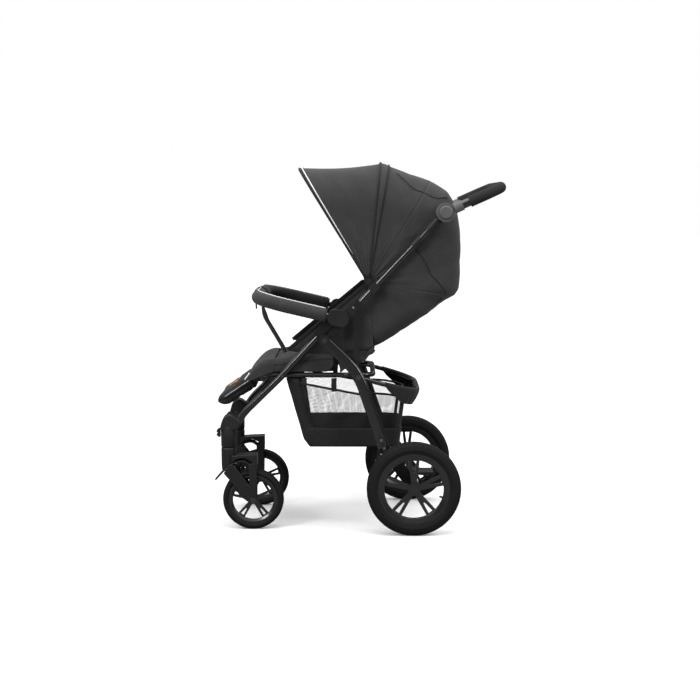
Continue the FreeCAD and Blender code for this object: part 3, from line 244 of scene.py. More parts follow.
# %% A finish from groups
def use_group(tree, group, place, **values):
    node = tree.nodes.new("ShaderNodeGroup")
    node.node_tree = group
    connect(tree, place, node.inputs["Place"])
    for label, value in values.items():
        node.inputs[label.replace("_", " ")].default_value = value
    return node


def ramp(tree, factor, low, high, low_at=0.3, high_at=0.7):
    """A blend between two values or colours, driven by a factor."""
    node = tree.nodes.new("ShaderNodeValToRGB")
    stops = node.color_ramp.elements
    stops[0].position, stops[1].position = low_at, high_at
    for stop, value in zip(stops, (low, high)):
        color = value if hasattr(value, "__len__") else (value,) * 3
        stop.color = (*color, 1)
    connect(tree, factor, node.inputs["Fac"])
    return node.outputs["Color"]


def add_bump(tree, shader, height, distance, strength=1.0):
    bump = tree.nodes.new("ShaderNodeBump")
    bump.inputs["Distance"].default_value = distance
    bump.inputs["Strength"].default_value = strength
    connect(tree, height, bump.inputs["Height"])
    connect(tree, bump.outputs["Normal"], shader.inputs["Normal"])


def place_socket(tree, own_map):
    """Object coordinates, or the piece's own flat map in metres."""
    if own_map:
        node = tree.nodes.new("ShaderNodeUVMap")
        node.uv_map = "cloth"
        return node.outputs["UV"]
    return tree.nodes.new("ShaderNodeTexCoord").outputs["Object"]


def moulded(name, color, roughness, grain=1400.0, depth=0.00012, metallic=0.0, coat=0.0):
    """Plastic, rubber or painted metal: base tone, slow mottle and a fine grain."""
    finish, shader = plain_material(name, color, roughness)
    tree = finish.node_tree
    place = place_socket(tree, False)
    mottle = use_group(tree, mottle_group, place, Scale=11.0).outputs["Height"]
    low = [channel * 0.86 for channel in color]
    high = [min(1.0, channel * 1.16) for channel in color]
    connect(tree, ramp(tree, mottle, low, high), shader.inputs["Base Color"])
    rough = ramp(tree, mottle, max(0.03, roughness - 0.07), min(1.0, roughness + 0.07))
    connect(tree, rough, shader.inputs["Roughness"])
    shader.inputs["Metallic"].default_value = metallic
    shader.inputs["Coat Weight"].default_value = coat
    shader.inputs["Coat Roughness"].default_value = 0.12
    shader.inputs["Specular IOR Level"].default_value = 0.5 if metallic or coat else 0.22
    fine = use_group(tree, grain_group, place, Scale=grain).outputs["Height"]
    add_bump(tree, shader, fine, depth, 0.5)
    return finish


def woven(name, dark, light, threads, own_map, depth=0.0003, sheen=0.1):
    """Cloth: two tones of thread, a crossing weave in relief, and a little sheen."""
    finish, shader = plain_material(name, light, 0.92)
    tree = finish.node_tree
    place = place_socket(tree, own_map)
    cloth = use_group(tree, weave_group, place, Threads=threads)
    mottle = use_group(tree, mottle_group, place, Scale=14.0).outputs["Height"]
    heather = use_group(tree, grain_group, place, Scale=360.0).outputs["Height"]
    tone = math_node(tree, "MULTIPLY_ADD", mottle, 0.3)
    connect(tree, math_node(tree, "MULTIPLY", heather, 0.9), tone.node.inputs[2])
    tone = math_node(tree, "ADD", tone, math_node(tree, "MULTIPLY", cloth.outputs["Thread shade"], 0.4))
    connect(tree, ramp(tree, tone, dark, light, 0.62, 1.0), shader.inputs["Base Color"])
    shader.inputs["Sheen Weight"].default_value = sheen
    shader.inputs["Sheen Roughness"].default_value = 0.5
    shader.inputs["Specular IOR Level"].default_value = 0.25
    add_bump(tree, shader, cloth.outputs["Height"], depth, 0.6)
    return finish


black_paint = moulded("satin_black_tube", (0.008, 0.008, 0.009), 0.2, 900.0, 0.00002, 0.3, 0.7)
black_plastic = moulded("moulded_black", (0.014, 0.014, 0.015), 0.42)
joint_plastic = moulded("joint_grey", (0.1, 0.1, 0.104), 0.38, 1400.0, 0.00008)
rim_plastic = moulded("rim_black", (0.007, 0.007, 0.008), 0.27, 1200.0, 0.00004, 0.0, 0.35)
zinc_steel = moulded("zinc_steel", (0.08, 0.08, 0.084), 0.4, 700.0, 0.00003, 0.9)
foam_grip = moulded("foam_grip", (0.016, 0.016, 0.017), 0.82, 2400.0, 0.0004)
tyre_rubber = moulded("tyre_rubber", (0.0055, 0.0055, 0.006), 0.75, 1800.0, 0.0002)
tan_patch = moulded("tan_patch", (0.42, 0.2, 0.085), 0.55)
grey_cloth = woven("heather_cloth", (0.017, 0.017, 0.018), (0.046, 0.046, 0.048), 1900.0, True)
grey_pad = woven("heather_pad", (0.018, 0.018, 0.019), (0.05, 0.05, 0.052), 1900.0, False)
black_cloth = woven("black_cloth", (0.008, 0.008, 0.009), (0.02, 0.02, 0.022), 1700.0, True)
black_pad = woven("black_pad", (0.006, 0.006, 0.007), (0.016, 0.016, 0.017), 1700.0, False)
webbing = woven("webbing", (0.01, 0.01, 0.011), (0.026, 0.026, 0.028), 2600.0, True, 0.0005, 0.1)
piping = woven("reflective_piping", (0.55, 0.55, 0.56), (0.78, 0.78, 0.79), 3200.0, False, 0.0002, 0.0)

# %% Finish every hard part of the frame
finishes = {
    black_paint: ("front_leg_left", "front_leg_right", "push_tube_left", "push_tube_right",
                  "rear_leg_left", "rear_leg_right", "front_crossbar", "handle_tube",
                  "seat_frame_tube", "footrest_frame", "bumper_core", "basket_hoop",
                  "backrest_hangers"),
    black_plastic: ("strut_housings", "hinge_cheeks", "hinge_covers", "fork_left", "fork_right",
                    "footrest_joints", "bumper_adapters", "backrest_board", "mid_bow", "front_bow",
                    "canopy_hubs", "canopy_clips", "harness_buckle", "brake_pedal", "axle_brackets",
                    "swivel_lock_left", "swivel_lock_right", "fold_trigger_left",
                    "fold_trigger_right", "tilt_bases"),
    joint_plastic: ("handle_discs", "handle_button_left", "handle_button_right"),
    rim_plastic: ("rear_wheel_rim_left", "rear_wheel_rim_right", "front_wheel_rim_left",
                  "front_wheel_rim_right"),
    zinc_steel: ("frame_pins", "rear_pivot_bolts", "seat_pivot_bolts", "rear_axle",
                 "front_axle_left", "front_axle_right"),
    foam_grip: ("handle_grip",),
    tyre_rubber: ("rear_wheel_tyre_left", "rear_wheel_tyre_right", "front_wheel_tyre_left",
                  "front_wheel_tyre_right"),
}
for finish, names in finishes.items():
    for name in names:
        part = nodes[name]
        for slot in part.material_slots:
            slot.material = finish
print("hard parts finished:", sum(len(names) for names in finishes.values()))

# %% [markdown]
# ## Cloth as sheets between curves
# Sewn cloth is cut flat and pulled between edges, so every sheet here is a grid between two or more
# edge curves. The grid keeps a flat map in metres, which lets the weave run along the cloth. A sheet
# gets a real thickness from Solidify.


# %% Helpers for sheets, tubes and straps
def link_piece(name, mesh, material, body=None):
    piece = bpy.data.objects.new(name, mesh)
    bpy.context.scene.collection.objects.link(piece)
    mesh.materials.append(material)
    mesh.polygons.foreach_set("use_smooth", [True] * len(mesh.polygons))
    if body:
        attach(piece, body)
    return piece


def grid_mesh(name, points, closed=False):
    """A mesh from rows of points, with a flat map in metres along rows and columns."""
    points = np.asarray(points, float)
    rows, columns = points.shape[:2]
    faces, spans = [], columns if closed else columns - 1
    for row in range(rows - 1):
        for column in range(spans):
            following = (column + 1) % columns
            faces.append((row * columns + column, row * columns + following,
                          (row + 1) * columns + following, (row + 1) * columns + column))
    mesh = bpy.data.meshes.new(name)
    mesh.from_pydata(points.reshape(-1, 3).tolist(), [], faces)
    across = np.cumsum(np.r_[0, np.linalg.norm(np.diff(points[rows // 2], axis=0), axis=1)])
    along = np.cumsum(np.r_[0, np.linalg.norm(np.diff(points[:, columns // 2], axis=0), axis=1)])
    flat = mesh.uv_layers.new(name="cloth")
    step = across[-1] / max(1, columns - 1)
    for loop in mesh.loops:
        row, column = divmod(loop.vertex_index, columns)
        flat.data[loop.index].uv = (across[column], along[row])
    if closed:
        for polygon in mesh.polygons:
            wraps = {mesh.loops[i].vertex_index % columns for i in polygon.loop_indices} == {0, columns - 1}
            for i in polygon.loop_indices:
                if wraps and mesh.loops[i].vertex_index % columns == 0:
                    flat.data[i].uv.x = across[-1] + step
    return mesh


def thicken(piece, wall, offset=0.0):
    solid = piece.modifiers.new("wall", "SOLIDIFY")
    solid.thickness = wall
    solid.offset = offset
    return piece


def cloth_sheet(name, rows, material, wall=0.0022, body=None, offset=0.0):
    """A sheet through rows of points, with a real thickness."""
    return thicken(link_piece(name, grid_mesh(name, rows), material, body), wall, offset)


def smooth_line(points, count, closed=False):
    """A smooth curve through points (Catmull-Rom), as evenly counted samples."""
    points = np.asarray(points, float)
    total = len(points) if closed else len(points) - 1
    samples = []
    for value in np.linspace(0, total, count, endpoint=not closed):
        index = min(int(value), total - 1)
        share = value - index
        if closed:
            p0, p1, p2, p3 = (points[(index + shift) % len(points)] for shift in (-1, 0, 1, 2))
        else:
            p0, p1, p2, p3 = (points[min(max(index + shift, 0), total)] for shift in (-1, 0, 1, 2))
        samples.append(0.5 * (2 * p1 + (p2 - p0) * share + (2 * p0 - 5 * p1 + 4 * p2 - p3) * share ** 2
                              + (3 * p1 - p0 - 3 * p2 + p3) * share ** 3))
    return np.array(samples)


def frames_along(line, up):
    """Unit side and lift vectors at each point of a line."""
    tangents = np.gradient(line, axis=0)
    tangents /= np.linalg.norm(tangents, axis=1)[:, None]
    sides = np.cross(tangents, np.asarray(up, float))
    sides /= np.linalg.norm(sides, axis=1)[:, None]
    return sides, np.cross(sides, tangents)


def tube_piece(name, line, radius, material, body, sides=10, up=(0, 0, 1), flat=1.0):
    """A round or flattened tube along a line, closed at its ends."""
    line = np.asarray(line, float)
    across, lift = frames_along(line, up)
    turns = np.linspace(0, 2 * math.pi, sides, endpoint=False)
    radii = np.broadcast_to(radius, len(line))
    rings = [point + size * (np.outer(np.cos(turns), side) + flat * np.outer(np.sin(turns), rise))
             for point, size, side, rise in zip(line, radii, across, lift)]
    mesh = grid_mesh(name, rings, closed=True)
    count = len(line) * sides
    work = bmesh.new()
    work.from_mesh(mesh)
    work.verts.ensure_lookup_table()
    work.faces.new([work.verts[i] for i in range(sides)][::-1])
    work.faces.new([work.verts[i] for i in range(count - sides, count)])
    bmesh.ops.recalc_face_normals(work, faces=work.faces)
    work.to_mesh(mesh)
    work.free()
    return link_piece(name, mesh, material, body)


def strap_piece(name, line, width, wall, material, body, wide=(1, 0, 0)):
    """Flat webbing along a line, with its width in one direction, or in one for each point."""
    line = np.asarray(line, float)
    spans = np.broadcast_to(np.asarray(wide, float), line.shape) * width
    rows = [[point + span * share for share in (-0.5, -0.17, 0.17, 0.5)]
            for point, span in zip(line, spans)]
    return cloth_sheet(name, rows, material, wall, body)


# %% [markdown]
# ## Hood
# The hood is cloth stretched over a front bow and a middle bow that turn on one pin, with a third
# stretch behind that runs down into the back of the seat. Seen from the side every edge points at
# the pin, so the whole hood is a fan: each cross-section is an arch at its own angle, and the reach
# of the arch follows the outline. The stretches are cut where the real one is sewn, at the bows.

# %% The fan
ARCH_STEPS = 46
HOOD_HALF, HOOD_CORNER = 0.1955, 0.118
front_angle, middle_angle = 121.2, 82.1
hood_outline = {
    121.2: 0.4045, 82.1: 0.3600, 78.5: 0.3565, 69.0: 0.3540, 58.5: 0.3600, 48.6: 0.3665, 41.3: 0.3560,
    33.2: 0.3335, 24.7: 0.3130, 11.9: 0.2890, 1.0: 0.2825, -5.0: 0.2800, -9.0: 0.2700, -13.5: 0.2440,
    -18.0: 0.2270, -25.0: 0.2100, -35.0: 0.1925, -45.0: 0.1830, -57.0: 0.1790, -70.0: 0.1850,
    -86.0: 0.2000}
outline_angles = sorted(hood_outline)


def reach_at(angle):
    return np.interp(angle, outline_angles, [hood_outline[key] for key in outline_angles])


def arch(angle, reach, half_width=HOOD_HALF, corner=HOOD_CORNER, near=0.016):
    """One cross-section: up the left side, over the crest and down the right side."""
    corner = min(corner, reach * 0.5)
    side = np.linspace(near, reach - corner, ARCH_STEPS // 3)
    turn = np.linspace(0, math.pi / 2, ARCH_STEPS // 4)[1:]
    crest = np.linspace(half_width - corner, 0, ARCH_STEPS // 6)[1:]
    across = np.r_[np.full(len(side), half_width), half_width - corner + corner * np.cos(turn), crest]
    outward = np.r_[side, reach - corner + corner * np.sin(turn), np.full(len(crest), reach)]
    across = np.r_[across, -across[-2::-1]]
    outward = np.r_[outward, outward[-2::-1]]
    bearing = math.radians(angle)
    return np.stack([across, canopy_pin[1] + outward * math.cos(bearing),
                     canopy_pin[2] + outward * math.sin(bearing)], axis=1)


def stretched(first, last, count, sag, chord=True, width=HOOD_HALF, puckers=0.0):
    """Arches from one angle to another, pulled straight between its ends, with a little sag."""
    start, end = arch(first, reach_at(first), width), arch(last, reach_at(last), width)
    rows = []
    for share in np.linspace(0, 1, count):
        angle = first + (last - first) * share
        if chord:
            row = start + (end - start) * share
        else:
            row = arch(angle, reach_at(angle), width)
        dip = sag * math.sin(math.pi * share)
        centre = np.array([0, canopy_pin[1], canopy_pin[2]])
        outward = row - centre
        length = np.linalg.norm(outward[:, 1:], axis=1)
        row[:, 1:] -= outward[:, 1:] / length[:, None] * dip * np.clip(length / 0.3, 0, 1)[:, None]
        fold = puckers * np.sin(share * math.pi * 9) * np.exp(-((length - 0.05) / 0.07) ** 2)
        row[:, 0] -= np.sign(row[:, 0]) * (dip * 0.7 * np.clip(length / 0.25, 0, 1) + fold)
        rows.append(row)
    return rows


# %% Front stretch, middle band, third stretch and back
hood_front = cloth_sheet(
    "hood_front", stretched(front_angle, middle_angle + 1.6, 25, 0.007, puckers=0.002), grey_cloth)
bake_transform(hood_front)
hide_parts("canopy_front_panel")
hood_band = cloth_sheet("hood_middle_band", stretched(middle_angle + 2.2, middle_angle - 2.0, 7, -0.0015,
                                                     False, 0.1970), grey_cloth, 0.003)
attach(hood_band, "canopy_mid")
hood_third = cloth_sheet("hood_third", stretched(middle_angle - 1.6, 58.5, 21, 0.003, False, puckers=0.002),
                        grey_cloth)
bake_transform(hood_third)
hood_back = cloth_sheet("hood_back", stretched(58.5, -9.0, 45, 0.002, False, puckers=0.0015), grey_cloth)
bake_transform(hood_back)
for piece in (hood_front, hood_third, hood_back):
    print(piece.name, len(piece.data.polygons), "faces")


# %% Edge bindings and reflective piping
def arch_line(angle, extra, width=0.1965):
    return arch(angle, reach_at(angle) + extra, width)


def bound_edge(name, angle, body, radius, material, extra=0.001):
    bearing = math.radians(angle)
    normal = (0, -math.sin(bearing), math.cos(bearing))
    return tube_piece(name, arch_line(angle, extra), radius, material, body, 8, normal)


bound_edge("hood_front_binding", front_angle + 0.6, "canopy_front", 0.0042, black_pad)
bound_edge("hood_front_piping", front_angle - 0.6, "canopy_front", 0.0021, piping, 0.0035)
bound_edge("hood_seam_front", middle_angle + 2.2, "canopy_mid", 0.0036, black_pad, 0.002)
bound_edge("hood_seam_rear", middle_angle - 2.0, "canopy_mid", 0.0036, black_pad, 0.002)


def hood_spot(angle, out, side, lift=0.0012):
    """A point on the outside of the hood, by its angle and its distance from the pin."""
    reach = reach_at(angle)
    corner = min(HOOD_CORNER, reach * 0.5)
    turn = max(0.0, out - (reach - corner))
    x = HOOD_HALF - corner + math.sqrt(max(0.0, corner ** 2 - turn ** 2))
    bearing = math.radians(angle)
    rise = out + lift * turn / corner
    return (side * (x + lift), canopy_pin[1] + rise * math.cos(bearing),
            canopy_pin[2] + rise * math.sin(bearing))


for side, sign in SIDES:
    for label, spots in (("panel", ((34.0, 0.174), (7.3, 0.188), (-8.8, 0.238))),
                         ("window", ((76.0, 0.340), (65.0, 0.3125), (51.8, 0.3225), (47.0, 0.35)))):
        stops = np.linspace(0, 1, len(spots))
        line = [hood_spot(*(np.interp(share, stops, values) for values in zip(*spots)), sign)
                for share in np.linspace(0, 1, 26)]
        stitch = tube_piece(f"hood_{label}_seam_{side}", smooth_line(line[::3] + [line[-1]], 30),
                            0.0012, black_pad, None, 6, (1, 0, 0))
        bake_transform(stitch)

# %% [markdown]
# ## The tub under the hood
# Below the hood the same cloth runs on as a tub: a rear part that hangs under the backrest, and
# a wing on each side whose front edge climbs from the cushion to the hood's pin. Both are sewn to
# the pushing tubes, so they ride with them, and the backrest moves up and down inside them.

# %% Tub and wings
TUB_TOP, TUB_LOW, WING_FRONT = -9.0, -86.0, -139.8
TUB_HALF = 0.1815
tub_rows = []
for angle in np.linspace(TUB_TOP, TUB_LOW, 45):
    share = (TUB_TOP - angle) / (TUB_TOP - TUB_LOW)
    ease = share * share * (3 - 2 * share)
    row = arch(angle, reach_at(angle), HOOD_HALF + (TUB_HALF - HOOD_HALF) * ease,
               HOOD_CORNER - 0.066 * min(1, share * 4))
    wave = 0.0008 * math.sin(share * math.pi * 3) + 0.0005 * math.sin(share * 23.0)
    row[:, 0] *= 1 - 0.012 * math.sin(share * math.pi)
    wave *= min(1, share * 5)
    row[:, 2] += wave * np.exp(-(row[:, 0] / 0.13) ** 2)
    tub_rows.append(row)
seat_tub = cloth_sheet("seat_tub", tub_rows, grey_cloth)
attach(seat_tub, "push_frame")
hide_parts("canopy_rear", "side_panels")

wing_outline = {TUB_LOW: 0.2005, -100.0: 0.2130, -112.4: 0.2310, -125.0: 0.2640, WING_FRONT: 0.3215}
wing_angles = sorted(wing_outline)


def wing_reach(angle):
    return np.interp(angle, wing_angles, [wing_outline[key] for key in wing_angles])


for side, sign in SIDES:
    rows = []
    for angle in np.linspace(TUB_LOW, WING_FRONT, 33):
        reach = wing_reach(angle)
        bearing = math.radians(angle)
        share = (TUB_LOW - angle) / (TUB_LOW - WING_FRONT)
        out = np.linspace(0.016, reach, 17)
        belly = 0.004 * np.sin(math.pi * out / reach) * math.sin(math.pi * share) ** 2
        rows.append(np.stack([sign * (TUB_HALF - 0.0035 * share ** 2 - belly),
                              canopy_pin[1] + out * math.cos(bearing),
                              canopy_pin[2] + out * math.sin(bearing)], axis=1))
    wing = cloth_sheet("seat_wing_" + side, rows, grey_cloth, 0.0024)
    if sign < 0:
        wing.data.flip_normals()
    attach(wing, "push_frame")
    bearing = math.radians(WING_FRONT - 0.4)
    edge = [(sign * 0.1778, canopy_pin[1] + out * math.cos(bearing),
             canopy_pin[2] + out * math.sin(bearing)) for out in np.linspace(0.02, 0.3215, 24)]
    strip = strap_piece("wing_binding_" + side, edge, 0.011, 0.0042, black_cloth, "push_frame",
                        wide=(0, math.sin(math.radians(-140)), -math.cos(math.radians(-140))))

# %% [markdown]
# ## Cushions that puff
# A sewn cushion is a closed bag pushed out by its filling, pulled in at every seam. Each one starts
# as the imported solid, shrunk a little, is remeshed evenly, and is blown up by a short cloth
# simulation. The movement of each point is capped, so it stays in its own space. The sewn channels
# are pressed in afterwards, because the remesh would erase them.


# %% The puff
def joined_copy(node, name, shrink):
    """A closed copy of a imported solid, shrunk along its normals."""
    mesh = nodes[node].data.copy()
    mesh.name = name
    mesh.materials.clear()
    work = bmesh.new()
    work.from_mesh(mesh)
    bmesh.ops.remove_doubles(work, verts=work.verts, dist=0.00005)
    bmesh.ops.recalc_face_normals(work, faces=work.faces)
    work.to_mesh(mesh)
    work.free()
    piece = bpy.data.objects.new(name, mesh)
    bpy.context.scene.collection.objects.link(piece)
    remesh(piece, 0.005)
    for vertex in piece.data.vertices:
        vertex.co -= vertex.normal * shrink
    return piece


def settle(piece):
    """Turns the evaluated shape, modifiers and all, into the piece's own mesh."""
    graph = bpy.context.evaluated_depsgraph_get()
    graph.update()
    shape = bpy.data.meshes.new_from_object(piece.evaluated_get(graph))
    piece.modifiers.clear()
    piece.data = shape


def remesh(piece, voxel):
    block = piece.modifiers.new("even", "REMESH")
    block.mode = "VOXEL"
    block.voxel_size = voxel
    settle(piece)


def puff(node, name, material, cap, shrink=0.004, pressure=4.0, press=None):
    """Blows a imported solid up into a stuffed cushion; press(points) then sews its channels."""
    piece = joined_copy(node, name, shrink)
    start = np.array([vertex.co for vertex in piece.data.vertices])
    cloth = piece.modifiers.new("cloth", "CLOTH")
    cloth.settings.use_pressure = True
    cloth.settings.uniform_pressure_force = pressure
    cloth.settings.effector_weights.gravity = 0
    cloth.settings.mass = 0.2
    cloth.settings.tension_stiffness = 12
    cloth.settings.shear_stiffness = 4
    cloth.settings.quality = 4
    cloth.point_cache.frame_start, cloth.point_cache.frame_end = 1, 20
    for step in range(1, 21):
        bpy.context.scene.frame_set(step)
    settle(piece)
    bpy.context.scene.frame_set(1)
    points = np.array([vertex.co for vertex in piece.data.vertices])
    moved = points - start
    length = np.linalg.norm(moved, axis=1)
    points = start + moved * np.minimum(1, cap / np.maximum(length, 1e-9))[:, None]
    piece.data.vertices.foreach_set("co", points.ravel())
    round_off = piece.modifiers.new("round", "SUBSURF")
    round_off.levels = round_off.render_levels = 1
    settle(piece)
    if press:
        points = np.array([vertex.co for vertex in piece.data.vertices])
        normals = np.array([vertex.normal for vertex in piece.data.vertices])
        piece.data.vertices.foreach_set("co", press(points, normals).ravel())
    piece.data.update()
    piece.data.materials.clear()
    piece.data.materials.append(material)
    piece.data.polygons.foreach_set("use_smooth", [True] * len(piece.data.polygons))
    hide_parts(node)
    print(name, "points", len(piece.data.vertices), "moved up to", round(float(length.max()), 4))
    return piece


def groove(distance, depth, width):
    return depth * np.exp(-(distance / width) ** 2)


SEAT_BASE, SEAT_THICK = 0.4870, 0.064


def seat_channels(points, normals):
    """Two seams from front to back and three across, pressed into the seat's top."""
    top = np.clip(normals[:, 2], 0, 1)
    inside = (np.abs(points[:, 0]) < 0.108).astype(float)
    press = groove(np.abs(points[:, 0]) - 0.108, 0.0045, 0.0035)
    for across in (-0.115, -0.175, -0.235):
        press = np.maximum(press, inside * groove(points[:, 1] - across, 0.0035, 0.003))
    rim = groove(points[:, 2] - 0.5185, 0.0022, 0.0025) * (1 - top)
    points = points - normals * (press * top + rim)[:, None]
    crest = np.interp(points[:, 1], (-0.323, -0.300, -0.276, -0.250, -0.200, -0.110),
                      (0.490, 0.506, 0.519, 0.527, 0.536, 0.551))
    points[:, 2] = SEAT_BASE + (points[:, 2] - SEAT_BASE) * (crest - SEAT_BASE) / SEAT_THICK
    return points


lean = math.radians(34.6)
back_up = np.array([0, math.cos(lean), math.sin(lean)])
back_out = np.array([0, -math.sin(lean), math.cos(lean)])


def back_channels(points, normals):
    """Seams up the backrest and across its shoulders, waist and head."""
    facing = np.clip(normals @ back_out, 0, 1)
    height = (points - recline_pin) @ back_up
    inside = (np.abs(points[:, 0]) < 0.104).astype(float)
    press = groove(np.abs(points[:, 0]) - 0.104, 0.0045, 0.0035)
    for along in (0.075, 0.135, 0.195, 0.25):
        press = np.maximum(press, inside * groove(height - along, 0.0035, 0.003))
    return points - normals * (press * facing)[:, None]


rest_down = np.array([0, math.cos(math.radians(214)), math.sin(math.radians(214))])
rest_out = np.array([0, rest_down[2], -rest_down[1]])


def footrest_channels(points, normals):
    along = (points - footrest_pin) @ rest_down
    facing = np.clip(np.abs(normals[:, 2]), 0, 1)
    press = 0 * along
    for place in (0.045, 0.09):
        press = np.maximum(press, groove(along - place, 0.003, 0.0035))
    points = points - normals * (press * facing)[:, None]
    fullness = np.clip(-normals @ rest_out, 0, 1) * np.clip((0.165 - along) / 0.03, 0, 1)
    shortened = 0.09 * np.clip(along - 0.125, 0, 1)
    return points - rest_out * (0.012 * fullness)[:, None] - rest_down * shortened[:, None]


seat_pad = puff("seat_cushion", "seat_pad", grey_pad, 0.008, press=seat_channels)
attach(seat_pad, "seat_frame")
back_pad = puff("backrest_cushion", "backrest_pad", grey_pad, 0.008, press=back_channels)
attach(back_pad, "backrest")
leg_pad = puff("footrest_pad", "footrest_cushion", black_pad, 0.006, press=footrest_channels)
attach(leg_pad, "footrest")

# %% [markdown]
# ## Apron and side valance
# The seat cover ends in front as an apron: it bends over the front of the seat, turns down at both
# sides and is bound with a reflective cord. Behind, a loose valance closes the space between the tub
# and the seat rail, and hangs in soft folds because nothing pulls it tight.

# %% Apron
APRON_HALF = 0.1895
apron_top = smooth_line([(0, -0.258, 0.5245), (0, -0.276, 0.5245), (0, -0.300, 0.5150),
                         (0, -0.322, 0.4960), (0, -0.339, 0.4750), (0, -0.348, 0.4625)], 26)
apron_low = smooth_line([(0, -0.258, 0.488), (0, -0.268, 0.4825), (0, -0.284, 0.4765),
                         (0, -0.303, 0.4695), (0, -0.322, 0.4625), (0, -0.3455, 0.4585)], 26)
apron_rows = []
for number, (high, low) in enumerate(zip(apron_top, apron_low)):
    shoulder = 0.020 - 0.013 * number / 25
    edge = high - np.array([0, 0, shoulder])
    row = [(APRON_HALF, *(low + (edge - low) * share)[1:]) for share in np.linspace(0, 1, 7)]
    for turn in np.linspace(0, math.pi / 2, 9)[1:]:
        row.append((APRON_HALF - shoulder * 1.3 * (1 - math.cos(turn)), high[1],
                    edge[2] + shoulder * math.sin(turn)))
    row += [(x, high[1], high[2]) for x in np.linspace(row[-1][0], 0, 16)[1:]]
    apron_rows.append(row + [(-x, y, z) for x, y, z in row[-2::-1]])
apron = cloth_sheet("seat_apron", apron_rows, grey_cloth, 0.0024)
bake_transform(apron)
for side, sign in SIDES:
    cord_points = [(sign * 0.1898, y, z) for x, y, z in apron_top[18:]]
    edging = tube_piece("apron_piping_" + side, cord_points, 0.0022, piping, None, 8, (1, 0, 0))
    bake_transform(edging)

# %% Side gussets of the seat cover
GUSSET_HALF, GUSSET_ROUND = 0.1878, 0.018
for side, sign in SIDES:
    gusset_rows = []
    for y in np.linspace(-0.266, -0.078, 22):
        top = np.interp(y, (-0.266, -0.250, -0.200, -0.110), (0.5215, 0.5255, 0.5335, 0.5440))
        base = 0.4868 + 0.020 * max(0.0, (y + 0.100) / 0.022) ** 2
        row = [(sign * (GUSSET_HALF + 0.0012 * math.sin(y * 70) * math.sin(share * math.pi)), y,
                base + (top - GUSSET_ROUND - base) * share) for share in np.linspace(0, 1, 8)]
        for turn in np.linspace(0, math.pi / 2, 9)[1:]:
            row.append((sign * (GUSSET_HALF - 0.026 * (1 - math.cos(turn))), y,
                        top - GUSSET_ROUND + GUSSET_ROUND * math.sin(turn)))
        gusset_rows.append(row)
    gusset = cloth_sheet("seat_gusset_" + side, gusset_rows, grey_cloth, 0.0022)
    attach(gusset, "seat_frame")
    seam = [(sign * (row[7][0] * sign + 0.0013), row[7][1], row[7][2]) for row in gusset_rows]
    tube_piece("gusset_seam_" + side, seam, 0.0009, black_pad, "seat_frame", 6)

# %% Patch and joint discs
surface = BVHTree.FromPolygons([vertex.co for vertex in leg_pad.data.vertices],
                               [polygon.vertices for polygon in leg_pad.data.polygons])
patch_rows = []
for along in np.linspace(0.078, 0.122, 9):
    row = []
    for x in np.linspace(-0.034, 0.034, 12):
        start = footrest_pin + rest_down * along + np.array([x, 0, 0])
        outside = start + np.array([0, -0.0559, 0.0829]) * 1.5
        hit = surface.ray_cast(Vector(outside), Vector((0, 0.559, -0.829)), 0.3)[0]
        row.append(np.array(hit) + np.array([0, -0.00084, 0.00124]))
    patch_rows.append(row)
patch = cloth_sheet("footrest_patch", patch_rows, tan_patch, 0.0016, "footrest")

# %% Valance
for side, sign in SIDES:
    rows = []
    for share in np.linspace(0, 1, 15):
        row = []
        for y in np.linspace(-0.060, 0.048, 40):
            angle = math.degrees(math.atan2(-0.205, y - canopy_pin[1]))
            top = canopy_pin[2] + wing_reach(angle) * math.sin(math.radians(angle)) + 0.006
            fold = 0.0045 * math.sin(y * 175 + 2.2 * share) * math.sin(math.pi * share)
            hem = np.interp(y, (-0.060, -0.020, 0.020, 0.048), (0.4855, 0.500, 0.524, 0.550))
            hem += 0.0025 * math.sin(y * 260)
            row.append((sign * (0.1795 + fold), y + 0.003 * math.sin(share * 9) * share,
                        top + (hem - top) * share))
        rows.append(row)
    valance = cloth_sheet("seat_valance_" + side, rows, grey_cloth, 0.0018, "seat_frame")
    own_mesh(valance)
print("apron", len(apron.data.polygons), "faces")

# %% [markdown]
# ## Bumper bar
# The bumper bar is a bent tube in a foam sleeve covered with cloth: grey on the outside, black on
# the child's side, with a reflective cord sewn along the upper seam. The sleeve is a swept ring
# that swells a little between its gathers, and each face takes the cloth of its own side.

# %% Sleeve, cord and end cuffs
mount = np.array([0.0, hinge[1], hinge[2]])
tilt = math.radians(167.0)
BAR_REACH, SLEEVE_SIDES = 0.252, 28
bar_dir = np.array([0, math.cos(tilt), math.sin(tilt)])
bar_up = np.array([0, math.sin(tilt), -math.cos(tilt)])


def bar_route(half_width=0.249, reach=BAR_REACH, bend=0.105, first=0.037):
    """The sleeve's centreline, from one mount round the front to the other."""
    run = [(half_width, along) for along in np.linspace(first, reach - bend, 18)]
    turn = [(half_width - bend + bend * math.cos(a), reach - bend + bend * math.sin(a))
            for a in np.linspace(0, math.pi / 2, 26)[1:]]
    front = [(x, reach) for x in np.linspace(half_width - bend, 0, 16)[1:]]
    near = run + turn + front
    path = near + [(-x, along) for x, along in near[-2::-1]]
    return np.array([mount + bar_dir * along + np.array([x, 0, 0]) for x, along in path])


